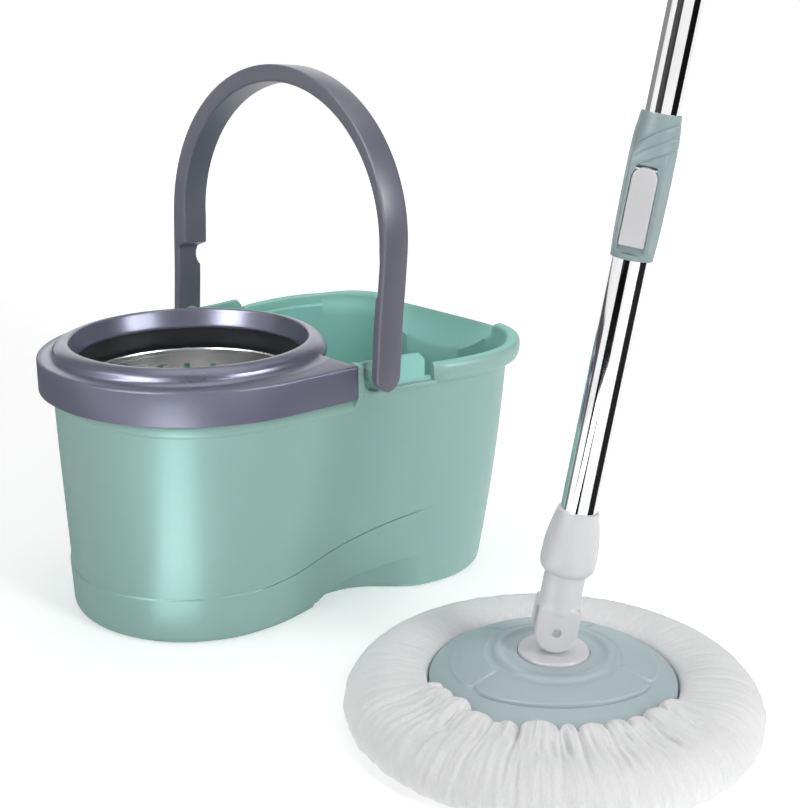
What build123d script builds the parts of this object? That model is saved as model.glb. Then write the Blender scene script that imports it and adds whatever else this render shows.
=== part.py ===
"""Spin mop set: a two-lobed bucket with a spin-dry basket, and a press-to-spin
mop standing beside it.  Millimetres, +Z up.  The origin lies on the floor under
the axis of the spin basket, +X runs to the pouring end of the bucket."""

from build123d import *
import math
import os

os.makedirs("parts", exist_ok=True)

# ------------------------------------------------------------------ dimensions
# bucket
FLOOR_T = 4.0            # thickness of the bucket floor
WALL_T = 3.0             # thickness of the bucket wall
Z_SEAT = 229.0           # underside of the wringer cover
Z_WALL = 228.8           # top edge of the bucket wall below the cover
Z_RIM = 221.0            # top of the pouring lobe
X_RIM = 152.0            # where the rolled rim begins
LIP_OUT = 10.5           # overhang of the rolled rim
LIP_H = 13.0             # depth of the rolled rim
SPOUT_HALF = 86.0        # half width of the pouring spout
SPOUT_X = 310.0          # tip of the pouring spout

# wringer cover
COVER_NOSE = 130.0       # reach of the cover over the basket end
COVER_HALF = 142.0       # half width of the cover
COVER_R = 138.0          # plan corner radius of the cover
COVER_END = 76.0         # where the skirt stops beside the bail ear
SKIRT_LOW = 202.0        # lower edge of the skirt
COVER_TOP = 232.0        # flat top of the cover
CREST_R = 105.5          # crest radius of the funnel ring
CREST_Z = 244.0          # crest height of the funnel ring
THROAT_R = 99.5          # narrowest radius of the funnel
RING_OUT = 121.0         # outer radius of the funnel ring

# bail
PIVOT_X = 96.0
PIVOT_Z = 222.0
BAIL_IN = 150.0          # inner face of the bail legs
BAIL_T = 9.5             # thickness of the bail legs
BAIL_W = 26.0            # width of the bail strip
BAIL_TOP = 473.5         # apex of the bail when upright
BAIL_LEAN = 3.5          # lean of the resting bail towards the spout
BAIL_SPREAD = 2.1        # legs stand this much wider at the springing of the arch
BAIL_GRIP = (7.2, 21.0)   # thickness of the arch at its front and rear foot
BAIL_KNEE = 108.0        # springing of the arch above the pivots
PIVOT_R = 5.0

# spin basket
BASKET_R = 96.5          # inner radius
BASKET_T = 1.0           # sheet thickness
BASKET_TOP = 208.0
BASKET_LOW = 128.0
PIN_R = 4.0              # spindle radius

# mop
MOP_X, MOP_Y = 75.9, -374.7   # where the mop head stands
FACING = 41.0            # bearing of the lean direction, clockwise from +X
LEAN = 9.0               # lean of the pole from upright
HINGE_Z = 76.5           # height of the head hinge
DISC_R = 95.0            # radius of the mop disc
FIBRE_R = 161.0          # radius of the fibre ring
HUB_R = 27.5             # radius of the swivel hub
TUBE_LOW_R = 13.7        # lower tube, outer radius
TUBE_LOW_IN = 13.0       # lower tube, inner radius
TUBE_UP_R = 12.6         # upper tube, outer radius
TUBE_UP_IN = 11.8        # upper tube, inner radius
S_HINGE = 10.5           # distances along the pole
S_SLEEVE = 57.0
S_COLLAR = 297.0
S_COLLAR_TOP = 393.0
S_TUBE_LOW_TOP = 338.0
S_UP_LOW = 254.0
S_UP_TOP = 1030.0
S_GRIP = 905.0
S_TOP = 1066.0
ROD_W, ROD_T, ROD_LEAD = 6.0, 2.5, 90.0
S_ROD0, S_ROD1 = 84.0, 470.0

# ------------------------------------------------------------ shared helpers
UP_AXIS = (0.0, 0.0, 1.0)
_f = math.radians(FACING)
_l = math.radians(LEAN)
SIDE = (math.cos(_f), -math.sin(_f), 0.0)      # direction the pole leans to
DEPTH = (math.sin(_f), math.cos(_f), 0.0)      # hinge axis of the head

HEAD = Plane(origin=(MOP_X, MOP_Y, 0.0), x_dir=SIDE, z_dir=UP_AXIS)
POLE_DIR = (
    SIDE[0] * math.sin(_l),
    SIDE[1] * math.sin(_l),
    math.cos(_l),
)
POLE_X = (
    SIDE[0] * math.cos(_l),
    SIDE[1] * math.cos(_l),
    -math.sin(_l),
)
POLE = Plane(
    origin=(
        MOP_X - S_HINGE * POLE_DIR[0],
        MOP_Y - S_HINGE * POLE_DIR[1],
        HINGE_Z - S_HINGE * POLE_DIR[2],
    ),
    x_dir=POLE_X,
    z_dir=POLE_DIR,
)


def radial(plane, turn):
    """Plane through the axis of the given plane: x outward at the turn angle, y along the axis."""
    a = math.radians(turn)
    out = plane.x_dir * math.cos(a) + plane.y_dir * math.sin(a)
    return Plane(origin=plane.origin, x_dir=out, z_dir=out.cross(plane.z_dir))


def whole(half_points):
    """Closed outline from the half with y >= 0, running from the nose to the spout end."""
    back = [(x, -y) for x, y in half_points[-2:0:-1]]
    return list(half_points) + back


def inset(points, t):
    """Outline moved inward by t along its own normals."""
    out = []
    n = len(points)
    for i in range(n):
        x0, y0 = points[i - 1]
        x1, y1 = points[(i + 1) % n]
        dx, dy = x1 - x0, y1 - y0
        d = math.hypot(dx, dy)
        out.append((points[i][0] + t * dy / d, points[i][1] - t * dx / d))
    return out


def between(a, b, k):
    return [(p[0] + (q[0] - p[0]) * k, p[1] + (q[1] - p[1]) * k) for p, q in zip(a, b)]


# plan outlines of the bucket wall: foot, knee and rim
FOOT = whole([
    (-113, 0), (-108, 33), (-80.5, 80), (-39, 106), (0, 113), (45, 106.5),
    (80, 99), (114, 104.5), (151, 123), (192, 136), (230, 127), (258, 101),
    (268.5, 64), (271, 0),
])
KNEE = whole([
    (-113.5, 0), (-110, 32), (-89.5, 78.5), (-52, 109), (-13, 121.5), (37, 122),
    (78, 121.5), (113, 125), (152, 135), (204, 143), (243, 133.5), (271, 107),
    (281.5, 69), (283.5, 0),
])
RIM = whole([
    (-115, 0), (-112.0, 31), (-96.3, 77.4), (-62.6, 112.4), (-24.3, 128.3), (30, 132),
    (76, 133), (112, 135.5), (154, 142), (214, 149), (254, 139.5), (283, 112),
    (293, 73), (295, 0),
])
Z_KNEE = 92.0

# ===================================================================== bucket
with BuildPart() as tub:
    for z, outline in ((0.0, FOOT), (Z_KNEE, KNEE), (Z_WALL, RIM)):
        with BuildSketch(Plane.XY.offset(z)):
            with BuildLine():
                Spline(*outline, periodic=True)
            make_face()
    loft()
    for z, outline in (
        (FLOOR_T, inset(between(FOOT, KNEE, FLOOR_T / Z_KNEE), WALL_T)),
        (Z_KNEE, inset(KNEE, WALL_T)),
        (Z_WALL, inset(RIM, WALL_T)),
    ):
        with BuildSketch(Plane.XY.offset(z)):
            with BuildLine():
                Spline(*outline, periodic=True)
            make_face()
    loft(mode=Mode.SUBTRACT)
    # the pouring lobe is lower than the seat of the cover
    with Locations((X_RIM + 150, 0, Z_RIM + 20)):
        Box(300, 400, 40, mode=Mode.SUBTRACT)
    # rolled rim round the pouring lobe, open at the spout
    with BuildSketch(Plane.XY.offset(Z_RIM - LIP_H)):
        with BuildLine():
            Spline(*inset(RIM, -LIP_OUT), periodic=True)
        make_face()
        with BuildLine():
            Spline(*inset(RIM, 1.0), periodic=True)
        make_face(mode=Mode.SUBTRACT)
        with Locations((X_RIM + 150, 0)):
            Rectangle(300, 400, mode=Mode.INTERSECT)
        with Locations((SPOUT_X, 0)):
            Rectangle(120, 2 * SPOUT_HALF, mode=Mode.SUBTRACT)
    extrude(amount=LIP_H)
    # pouring spout: a scoop leaning out of the end wall
    with BuildSketch(Plane.XZ):
        with BuildLine():
            Polyline(
                (283, 166), (288.5, 166), (SPOUT_X, 214), (SPOUT_X, Z_RIM),
                (283, Z_RIM), close=True,
            )
        make_face()
    extrude(amount=SPOUT_HALF + 2.0, both=True)
    with BuildSketch(Plane.XZ):
        with BuildLine():
            Polyline(
                (272, 172), (286.0, 172), (SPOUT_X - 2.6, Z_RIM + 1),
                (272, Z_RIM + 1), close=True,
            )
        make_face()
    extrude(amount=SPOUT_HALF - 1.0, both=True, mode=Mode.SUBTRACT)
    # ears beside the bail ends, flush with the skirt of the cover, and the ledge below
    for side in (1, -1):
        with Locations((81.6, side * 136.9, 217.0)):
            Box(9.8, 10.2, 30.0)
        with BuildSketch(Plane.XY.offset(SKIRT_LOW)):
            with BuildLine():
                Polyline(
                    (76.7, side * 131.5), (76.7, side * 142.0), (112.0, side * 144.0),
                    (X_RIM + 2.0, side * 151.0), (X_RIM + 2.0, side * 140.0),
                    (112.0, side * 133.6), close=True,
                )
            make_face()
        extrude(amount=4.5)
        # boss that spaces the bail off the wall
        with Locations(
            Location((PIVOT_X, side * 132.0, PIVOT_Z), (-90.0 * side, 0, 0))
        ):
            Cylinder(9.0, 17.4, align=(Align.CENTER, Align.CENTER, Align.MIN))
    for side in (1, -1):
        with Locations(
            Location((PIVOT_X, side * 120.0, PIVOT_Z), (-90.0 * side, 0, 0))
        ):
            Cylinder(
                PIVOT_R, 30.0, align=(Align.CENTER, Align.CENTER, Align.MIN),
                mode=Mode.SUBTRACT,
            )
tub.part.label = "tub"
export_step(tub.part, "parts/tub.step")

# ------------------------------------------------------------- wringer cover
cx, cy = -(COVER_NOSE - COVER_R), COVER_HALF - COVER_R
with BuildPart() as wringer_cover:
    with BuildSketch(Plane.XY.offset(SKIRT_LOW)) as skirt_plan:
        with BuildLine():
            l1 = Line((COVER_END, -COVER_HALF), (COVER_END, COVER_HALF))
            l2 = Line((COVER_END, COVER_HALF), (cx, COVER_HALF))
            CenterArc((cx, cy), COVER_R, 90, 90)
            Line((-COVER_NOSE, cy), (-COVER_NOSE, -cy))
            CenterArc((cx, -cy), COVER_R, 180, 90)
            Line((cx, -COVER_HALF), (COVER_END, -COVER_HALF))
        make_face()
    extrude(amount=COVER_TOP - SKIRT_LOW)
    fillet(
        wringer_cover.faces().sort_by(Axis.Z)[-1].edges().filter_by_position(
            Axis.X, -200, COVER_END - 1.0
        ),
        radius=2.0,
    )
    # hollow behind the skirt
    with BuildSketch(Plane.XY.offset(SKIRT_LOW - 1.0)):
        with BuildLine():
            Line((COVER_END + 1, -COVER_HALF + 3), (COVER_END + 1, COVER_HALF - 3))
            Line((COVER_END + 1, COVER_HALF - 3), (cx, COVER_HALF - 3))
            CenterArc((cx, cy), COVER_R - 3, 90, 90)
            Line((-COVER_NOSE + 3, cy), (-COVER_NOSE + 3, -cy))
            CenterArc((cx, -cy), COVER_R - 3, 180, 90)
            Line((cx, -COVER_HALF + 3), (COVER_END + 1, -COVER_HALF + 3))
        make_face()
    extrude(amount=Z_SEAT - SKIRT_LOW + 1.0, mode=Mode.SUBTRACT)
    # the flat top ends at the ring on the water side
    with BuildSketch(Plane.XY.offset(Z_SEAT)):
        Circle(RING_OUT - 1.0)
    extrude(amount=COVER_TOP - Z_SEAT)
    with BuildSketch(Plane.XY.offset(Z_SEAT - 1)):
        Circle(RING_OUT - 3.0)
    extrude(amount=COVER_TOP - Z_SEAT + 2, mode=Mode.SUBTRACT)
    # funnel ring with its rounded crest, throat and splash skirt
    with BuildSketch(Plane.XZ):
        with BuildLine():
            Line((RING_OUT, Z_SEAT), (RING_OUT, COVER_TOP + 0.6))
            Spline(
                (RING_OUT, COVER_TOP + 0.6), (117.8, 238.4), (112.0, 243.2),
                (CREST_R + 1.6, CREST_Z), (CREST_R - 0.8, CREST_Z - 2.2),
            )
            Line((CREST_R - 0.8, CREST_Z - 2.2), (THROAT_R, 228.6))
            Line((THROAT_R, 228.6), (THROAT_R, 226.4))
            Line((THROAT_R, 226.4), (102.4, 226.4))
            Line((102.4, 226.4), (102.4, 206.0))
            Line((102.4, 206.0), (104.8, 206.0))
            Line((104.8, 206.0), (104.8, 229.5))
            Line((104.8, 229.5), (108.6, 240.0))
            Line((108.6, 240.0), (112.4, 238.2))
            Line((112.4, 238.2), (117.4, Z_SEAT))
            Line((117.4, Z_SEAT), (RING_OUT, Z_SEAT))
        make_face()
    revolve(axis=Axis.Z)
wringer_cover.part.label = "wringer_cover"
export_step(wringer_cover.part, "parts/wringer_cover.step")

# ------------------------------------------------------------- spindle support
with BuildPart() as spindle_post:
    with BuildSketch(Plane.XZ):
        with BuildLine():
            Polyline(
                (0, FLOOR_T), (38, FLOOR_T), (38, FLOOR_T + 5), (24, FLOOR_T + 12),
                (13, 100), (13, 116.3), (PIN_R, 116.3), (PIN_R, 86), (0, 86), close=True,
            )
        make_face()
    revolve(axis=Axis.Z)
    with PolarLocations(31.5, 3):
        with Locations((0, 0, FLOOR_T)):
            Cylinder(2.1, 20, align=(Align.CENTER, Align.CENTER, Align.MIN), mode=Mode.SUBTRACT)
            with Locations((0, 0, 4.5)):
                Cylinder(4.6, 20, align=(Align.CENTER, Align.CENTER, Align.MIN), mode=Mode.SUBTRACT)
spindle_post.part.label = "spindle_post"
export_step(spindle_post.part, "parts/spindle_post.step")

with BuildPart() as post_screws:
    with PolarLocations(31.5, 3):
        with Locations((0, 0, FLOOR_T)):
            Cylinder(2.1, 4.5, align=(Align.CENTER, Align.CENTER, Align.MIN))
            with Locations((0, 0, 4.5)):
                Cylinder(4.2, 2.8, align=(Align.CENTER, Align.CENTER, Align.MIN))
            with Locations((0, 0, 6.3)):
                Box(5.4, 1.0, 1.4, align=(Align.CENTER, Align.CENTER, Align.MIN), mode=Mode.SUBTRACT)
post_screws.part.label = "post_screws"
export_step(post_screws.part, "parts/post_screws.step")

with BuildPart() as spindle_pin:
    with BuildSketch(Plane.XZ):
        with BuildLine():
            Polyline(
                (0, 86), (PIN_R, 86), (PIN_R, 150.5), (PIN_R - 0.7, 150.5),
                (PIN_R - 0.7, 151.7), (PIN_R, 151.7), (PIN_R, 154), (PIN_R - 1.2, 156),
                (0, 156), close=True,
            )
        make_face()
    revolve(axis=Axis.Z)
spindle_pin.part.label = "spindle_pin"
export_step(spindle_pin.part, "parts/spindle_pin.step")

with BuildPart() as thrust_washer:
    with BuildSketch(Plane.XY.offset(116.3)):
        Circle(10.5)
        Circle(PIN_R, mode=Mode.SUBTRACT)
    extrude(amount=1.4)
thrust_washer.part.label = "thrust_washer"
export_step(thrust_washer.part, "parts/thrust_washer.step")

with BuildPart() as spindle_clip:
    with BuildSketch(Plane.XY.offset(150.6)):
        Circle(7.0)
        Circle(PIN_R - 0.7, mode=Mode.SUBTRACT)
        with Locations((6.0, 0)):
            Rectangle(12.0, 4.4, mode=Mode.SUBTRACT)
    extrude(amount=1.0)
spindle_clip.part.label = "spindle_clip"
export_step(spindle_clip.part, "parts/spindle_clip.step")

# ----------------------------------------------------------------- spin basket
with BuildPart() as spin_basket:
    with BuildSketch(Plane.XZ):
        with BuildLine():
            Polyline(
                (15.0, BASKET_LOW), (BASKET_R - 8, BASKET_LOW), (BASKET_R + BASKET_T, BASKET_LOW + 9),
                (BASKET_R + BASKET_T, BASKET_TOP - 4), (BASKET_R + 2.4, BASKET_TOP - 2.4),
                (BASKET_R + 2.4, BASKET_TOP - 0.6), (BASKET_R + 1.6, BASKET_TOP),
                (BASKET_R + 0.6, BASKET_TOP - 0.3), (BASKET_R, BASKET_TOP - 1.5),
                (BASKET_R, BASKET_LOW + 9.5), (BASKET_R - 8.4, BASKET_LOW + BASKET_T),
                (15.0, BASKET_LOW + BASKET_T), close=True,
            )
        make_face()
    revolve(axis=Axis.Z)
    # rows of square drain holes in the wall
    for z in (148.0, 162.0, 176.0, 190.0):
        with Locations((0, 0, z)):
            with PolarLocations(BASKET_R, 24):
                Box(6.0, 5.2, 5.2, mode=Mode.SUBTRACT)
    # drain holes in the floor
    for r, n in ((42.0, 10), (58.0, 14), (74.0, 18)):
        with Locations((0, 0, BASKET_LOW)):
            with PolarLocations(r, n):
                Cylinder(3.0, 6.0, mode=Mode.SUBTRACT)
    # holes for the hub screws
    with Locations((0, 0, BASKET_LOW)):
        with PolarLocations(22.0, 4, start_angle=45):
            Cylinder(2.1, 6.0, mode=Mode.SUBTRACT)
spin_basket.part.label = "spin_basket"
export_step(spin_basket.part, "parts/spin_basket.step")

with BuildPart() as basket_hub:
    with BuildSketch(Plane.XZ):
        with BuildLine():
            Polyline(
                (6.0, 118.0), (16.0, 118.0), (29.0, 121.0), (29.0, BASKET_LOW),
                (14.7, BASKET_LOW), (13.0, 146.0), (11.0, 150.0), (6.0, 150.0), close=True,
            )
        make_face()
    revolve(axis=Axis.Z)
    with Locations((0, 0, 120.0)):
        with PolarLocations(22.0, 4, start_angle=45):
            Cylinder(2.0, 12.0, align=(Align.CENTER, Align.CENTER, Align.MIN), mode=Mode.SUBTRACT)
basket_hub.part.label = "basket_hub"
export_step(basket_hub.part, "parts/basket_hub.step")

with BuildPart() as hub_bush:
    with BuildSketch(Plane.XY.offset(118.0)):
        Circle(6.0)
        Circle(PIN_R + 0.05, mode=Mode.SUBTRACT)
    extrude(amount=32.0)
hub_bush.part.label = "hub_bush"
export_step(hub_bush.part, "parts/hub_bush.step")

with BuildPart() as hub_screws:
    with PolarLocations(22.0, 4, start_angle=45):
        with Locations((0, 0, 120.0)):
            Cylinder(2.0, 9.0, align=(Align.CENTER, Align.CENTER, Align.MIN))
        with Locations((0, 0, BASKET_LOW + BASKET_T)):
            Cylinder(3.8, 2.4, align=(Align.CENTER, Align.CENTER, Align.MIN))
        with Locations((0, 0, BASKET_LOW + BASKET_T + 1.4)):
            Box(5.0, 1.0, 1.4, align=(Align.CENTER, Align.CENTER, Align.MIN), mode=Mode.SUBTRACT)
hub_screws.part.label = "hub_screws"
export_step(hub_screws.part, "parts/hub_screws.step")

# ------------------------------------------------------------------------ bail
_b = math.radians(BAIL_LEAN)
BAIL = Plane(
    origin=(PIVOT_X, 0.0, PIVOT_Z), x_dir=(0.0, 1.0, 0.0),
    z_dir=(math.cos(_b), 0.0, -math.sin(_b)),
)
BAIL_LEG = Plane(origin=BAIL.origin, x_dir=BAIL.z_dir, z_dir=(0.0, -1.0, 0.0))
ARCH_Y = BAIL_IN + BAIL_T + BAIL_SPREAD      # half span of the arch, outer face
ARCH_H = BAIL_TOP - PIVOT_Z - BAIL_KNEE      # rise of the arch above its springing


def bail_arch(depth_front, depth_rear):
    """Line of the arch from front to rear, set in from its outer face by a depth that changes evenly."""
    line = []
    for k in range(33):
        f = k / 32
        depth = depth_front + (depth_rear - depth_front) * f
        if k in (0, 1, 2, 30, 31, 32):                       # legs above the knee, in even steps
            h = (76.0, 86.0, 97.0)[k if k < 3 else 32 - k]
            t = (h - 30.0) / (BAIL_KNEE - 30.0)
            y = BAIL_IN + BAIL_T + BAIL_SPREAD * t * t * (3 - 2 * t) - depth
            line.append((-y if k < 3 else y, h))
        else:
            u = math.pi * (k - 3) / 26
            n = math.hypot(ARCH_H * math.cos(u), ARCH_Y * math.sin(u))
            line.append((
                -ARCH_Y * math.cos(u) + depth * ARCH_H * math.cos(u) / n,
                BAIL_KNEE + ARCH_H * math.sin(u) - depth * ARCH_Y * math.sin(u) / n,
            ))
    return line


with BuildPart() as bail_handle:
    with BuildSketch(BAIL):
        with BuildLine():
            outer = bail_arch(0.0, 0.0)
            inner = bail_arch(BAIL_GRIP[0], BAIL_GRIP[1])
            Spline(*outer)
            Spline(*inner)
            Polyline(outer[0], (-BAIL_IN - BAIL_T, 30), (-BAIL_IN - BAIL_T, 0), (-BAIL_IN, 0), (-BAIL_IN, 66), inner[0])
            Polyline(outer[-1], (BAIL_IN + BAIL_T, 30), (BAIL_IN + BAIL_T, 0), (BAIL_IN, 0), (BAIL_IN, 69), inner[-1])
        make_face()
    extrude(amount=BAIL_W / 2, both=True)
    # rounded leg ends
    for side in (1, -1):
        with BuildSketch(BAIL_LEG.offset(side * BAIL_IN)):
            Circle(BAIL_W / 2)
        extrude(amount=side * BAIL_T)
    # notch in the edge of the rear leg that parks the pole
    with BuildSketch(BAIL_LEG.offset(-BAIL_IN + 26.0)):
        with Locations((BAIL_W / 2 + 10.0, 283.0 - PIVOT_Z)):
            Circle(15.0)
    extrude(amount=-60.0, mode=Mode.SUBTRACT)
    # blind bores for the pivots
    for side in (1, -1):
        with BuildSketch(BAIL_LEG.offset(side * (BAIL_IN - 3.0))):
            Circle(PIVOT_R + 0.06)
        extrude(amount=side * 8.0, mode=Mode.SUBTRACT)
bail_handle.part.label = "bail_handle"
export_step(bail_handle.part, "parts/bail_handle.step")

with BuildPart() as bail_pivots:
    for side in (1, -1):
        with Locations(Location((PIVOT_X, side * 126.0, PIVOT_Z), (-90.0 * side, 0, 0))):
            Cylinder(PIVOT_R, 28.6, align=(Align.CENTER, Align.CENTER, Align.MIN))
            Cylinder(8.0, 2.4, align=(Align.CENTER, Align.CENTER, Align.MIN))
bail_pivots.part.label = "bail_pivots"
export_step(bail_pivots.part, "parts/bail_pivots.step")

# ======================================================================== mop
POLE_AXIS = Axis(POLE.origin, POLE.z_dir)
HEAD_AXIS = Axis(HEAD.origin, HEAD.z_dir)
SECTION = radial(POLE, 0.0)          # half section of the pole: x radius, y along the pole
HEAD_SECTION = radial(HEAD, 0.0)     # half section of the head: x radius, y height
SIDE_VIEW = Plane(origin=POLE.origin, x_dir=POLE.x_dir, z_dir=-POLE.y_dir)
LEVER_TURN = 252.0                   # bearing of the lock lever round the pole
LEVER_SIDE = radial(POLE, LEVER_TURN)
LEVER_FRONT = Plane(
    origin=POLE.origin, x_dir=LEVER_SIDE.z_dir * -1.0, z_dir=LEVER_SIDE.x_dir
)

# -------------------------------------------------------------- head and fibres
with BuildPart() as mop_disc:
    with BuildSketch(HEAD_SECTION):
        with BuildLine():
            Polyline(
                (DISC_R, 33.0), (DISC_R, 30.6), (92.4, 30.6), (91.6, 33.4), (88.0, 37.0),
                (79.0, 41.4), (60.0, 47.4), (46.0, 49.4), (36.0, 49.4), (36.0, 25.0),
                (32.5, 25.0), (32.5, 42.0), (9.06, 42.0), (9.06, 48.0), (28.0, 48.0),
                (28.0, 56.0), (28.8, 56.6), (43.0, 56.2),
            )
            Spline((43.0, 56.2), (45.4, 55.0), (47.5, 53.4), (51.0, 52.6), tangents=[(1, -0.02), (1, -0.14)])
            Spline(
                (51.0, 52.6), (66.0, 49.6), (81.0, 44.6), (91.2, 38.6), (DISC_R, 33.0),
                tangents=[(1, -0.14), (0, -1)],
            )
        make_face()
    revolve(axis=HEAD_AXIS)
mop_disc.part.label = "mop_disc"
export_step(mop_disc.part, "parts/mop_disc.step")

with BuildPart() as refill_band:
    with BuildSketch(HEAD.offset(26.0)):
        Circle(88.0)
        Circle(36.0, mode=Mode.SUBTRACT)
    extrude(amount=3.8)
refill_band.part.label = "refill_band"
export_step(refill_band.part, "parts/refill_band.step")

with BuildPart() as fibre_ring:
    with BuildSketch(HEAD_SECTION):
        with BuildLine():
            Polyline((97.0, 33.0), (97.0, 25.4), (40.0, 25.4), (40.0, 1.0), (150.0, 1.0))
            Spline(
                (150.0, 1.0), (158.5, 5.5), (FIBRE_R, 14.0), (158.0, 26.0), (147.0, 35.5),
                (131.0, 40.0), (114.0, 39.6), (103.0, 37.0), (97.0, 33.0),
            )
        make_face()
    revolve(axis=HEAD_AXIS)
fibre_ring.part.label = "fibre_ring"
export_step(fibre_ring.part, "parts/fibre_ring.step")

# ------------------------------------------------------------------ swivel hub
TONGUE_R = 11.5
HUB_TOP = 59.0
with BuildPart() as swivel_hub:
    with BuildSketch(HEAD_SECTION):
        with BuildLine():
            Polyline(
                (0.0, 41.7), (9.0, 41.7), (9.0, 48.3), (HUB_R, 48.3), (HUB_R, 56.2),
                (26.4, 57.6), (18.0, HUB_TOP), (0.0, HUB_TOP), close=True,
            )
        make_face()
    revolve(axis=HEAD_AXIS)
    with BuildSketch(Plane(origin=(MOP_X, MOP_Y, HINGE_Z), x_dir=SIDE, z_dir=HEAD.y_dir * -1.0)):
        Circle(TONGUE_R)
        with Locations((0, -(HINGE_Z - HUB_TOP + 1.0) / 2)):
            Rectangle(2 * TONGUE_R, HINGE_Z - HUB_TOP + 1.0)
        Circle(3.05, mode=Mode.SUBTRACT)
    extrude(amount=7.0, both=True)
    with BuildSketch(HEAD.offset(41.0)):
        Circle(2.4)
    extrude(amount=13.0, mode=Mode.SUBTRACT)
swivel_hub.part.label = "swivel_hub"
export_step(swivel_hub.part, "parts/swivel_hub.step")

with BuildPart() as hub_washer:
    with BuildSketch(HEAD.offset(40.2)):
        Circle(13.0)
        Circle(2.4, mode=Mode.SUBTRACT)
    extrude(amount=1.5)
hub_washer.part.label = "hub_washer"
export_step(hub_washer.part, "parts/hub_washer.step")

with BuildPart() as hub_bolt:
    with BuildSketch(HEAD.offset(36.8)):
        Circle(4.4)
    extrude(amount=3.4)
    with BuildSketch(HEAD.offset(40.2)):
        Circle(2.4)
    extrude(amount=13.8)
    with BuildSketch(HEAD.offset(36.8)):
        RegularPolygon(2.0, 6)
    extrude(amount=2.0, mode=Mode.SUBTRACT)
hub_bolt.part.label = "hub_bolt"
export_step(hub_bolt.part, "parts/hub_bolt.step")

# -------------------------------------------------------------- neck and sleeve
FORK_R = 16.0
HINGE_VIEW = Plane(origin=(MOP_X, MOP_Y, HINGE_Z), x_dir=POLE.x_dir, z_dir=-POLE.y_dir)
with BuildPart() as neck_yoke:
    with BuildSketch(HINGE_VIEW):
        Circle(FORK_R)
        with BuildLine():
            Polyline((-FORK_R, 0), (FORK_R, 0), (15.8, 20), (-15.8, 20), close=True)
        make_face()
    extrude(amount=15.2, both=True)
    with BuildSketch(SECTION):
        with BuildLine():
            Polyline(
                (0, 26), (16.2, 26), (15.6, 36), (15.6, S_SLEEVE), (11.2, S_SLEEVE),
                (11.2, 70), (0, 70), close=True,
            )
        make_face()
    revolve(axis=POLE_AXIS)
    # slot that straddles the tongue of the hub
    with BuildSketch(HINGE_VIEW):
        with Locations((0, -4.75)):
            Rectangle(60, 38.5)
    extrude(amount=7.4, both=True, mode=Mode.SUBTRACT)
    with BuildSketch(HINGE_VIEW):
        Circle(3.0)
    extrude(amount=20, both=True, mode=Mode.SUBTRACT)
    # pilot hole of the sleeve screw
    with BuildSketch(Plane(origin=POLE.origin + POLE.z_dir * 63.5, x_dir=POLE.z_dir, z_dir=POLE.y_dir)):
        Circle(1.6)
    extrude(amount=20, mode=Mode.SUBTRACT)
neck_yoke.part.label = "neck_yoke"
export_step(neck_yoke.part, "parts/neck_yoke.step")

with BuildPart() as hinge_pin:
    with BuildSketch(HINGE_VIEW):
        Circle(3.0)
    extrude(amount=15.0, both=True)
hinge_pin.part.label = "hinge_pin"
export_step(hinge_pin.part, "parts/hinge_pin.step")

with BuildPart() as joint_sleeve:
    with BuildSketch(SECTION):
        with BuildLine():
            Polyline(
                (15.4, 106.0), (TUBE_LOW_R, 106.0), (TUBE_LOW_R, 70.0), (11.2, 70.0),
                (11.2, S_SLEEVE), (18.0, S_SLEEVE),
            )
            Spline(
                (18.0, S_SLEEVE), (20.4, 61.0), (21.0, 69.0), (20.3, 81.0), (18.2, 94.0),
                (16.2, 102.5), (15.4, 106.0),
            )
        make_face()
    revolve(axis=POLE_AXIS)
    SCREW = Plane(origin=POLE.origin + POLE.z_dir * 63.5, x_dir=POLE.z_dir, z_dir=POLE.y_dir)
    with BuildSketch(SCREW):
        Circle(1.6)
    extrude(amount=30, mode=Mode.SUBTRACT)
    with BuildSketch(SCREW.offset(17.4)):
        Circle(3.3)
    extrude(amount=10, mode=Mode.SUBTRACT)
joint_sleeve.part.label = "joint_sleeve"
export_step(joint_sleeve.part, "parts/joint_sleeve.step")

with BuildPart() as sleeve_screw:
    with BuildSketch(SCREW.offset(0.5)):
        Circle(1.6)
    extrude(amount=16.9)
    with BuildSketch(SCREW.offset(17.4)):
        Circle(3.2)
    extrude(amount=2.2)
    with BuildSketch(SCREW.offset(18.4)):
        Rectangle(4.6, 0.9)
    extrude(amount=2.0, mode=Mode.SUBTRACT)
sleeve_screw.part.label = "sleeve_screw"
export_step(sleeve_screw.part, "parts/sleeve_screw.step")

# ------------------------------------------------------------------ lower pole
with BuildPart() as lower_tube:
    with BuildSketch(POLE.offset(70.0)):
        Circle(TUBE_LOW_R)
        Circle(TUBE_LOW_IN, mode=Mode.SUBTRACT)
    extrude(amount=S_TUBE_LOW_TOP - 70.0)
lower_tube.part.label = "lower_tube"
export_step(lower_tube.part, "parts/lower_tube.step")

with BuildPart() as rod_anchor:
    with BuildSketch(POLE.offset(72.0)):
        Circle(TUBE_LOW_IN)
    extrude(amount=26.0)
    with BuildSketch(POLE.offset(S_ROD0)):
        Circle(3.4)
    extrude(amount=40.0, mode=Mode.SUBTRACT)
rod_anchor.part.label = "rod_anchor"
export_step(rod_anchor.part, "parts/rod_anchor.step")

with BuildPart() as twisted_rod:
    ROD_STEPS = 62
    for k in range(ROD_STEPS + 1):
        s = S_ROD0 + (S_ROD1 - S_ROD0) * k / ROD_STEPS
        turn = 360.0 * (s - 240.0) / ROD_LEAD
        with BuildSketch(POLE.offset(s)):
            Rectangle(ROD_W, ROD_T, rotation=turn)
    loft()
twisted_rod.part.label = "twisted_rod"
export_step(twisted_rod.part, "parts/twisted_rod.step")

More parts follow.
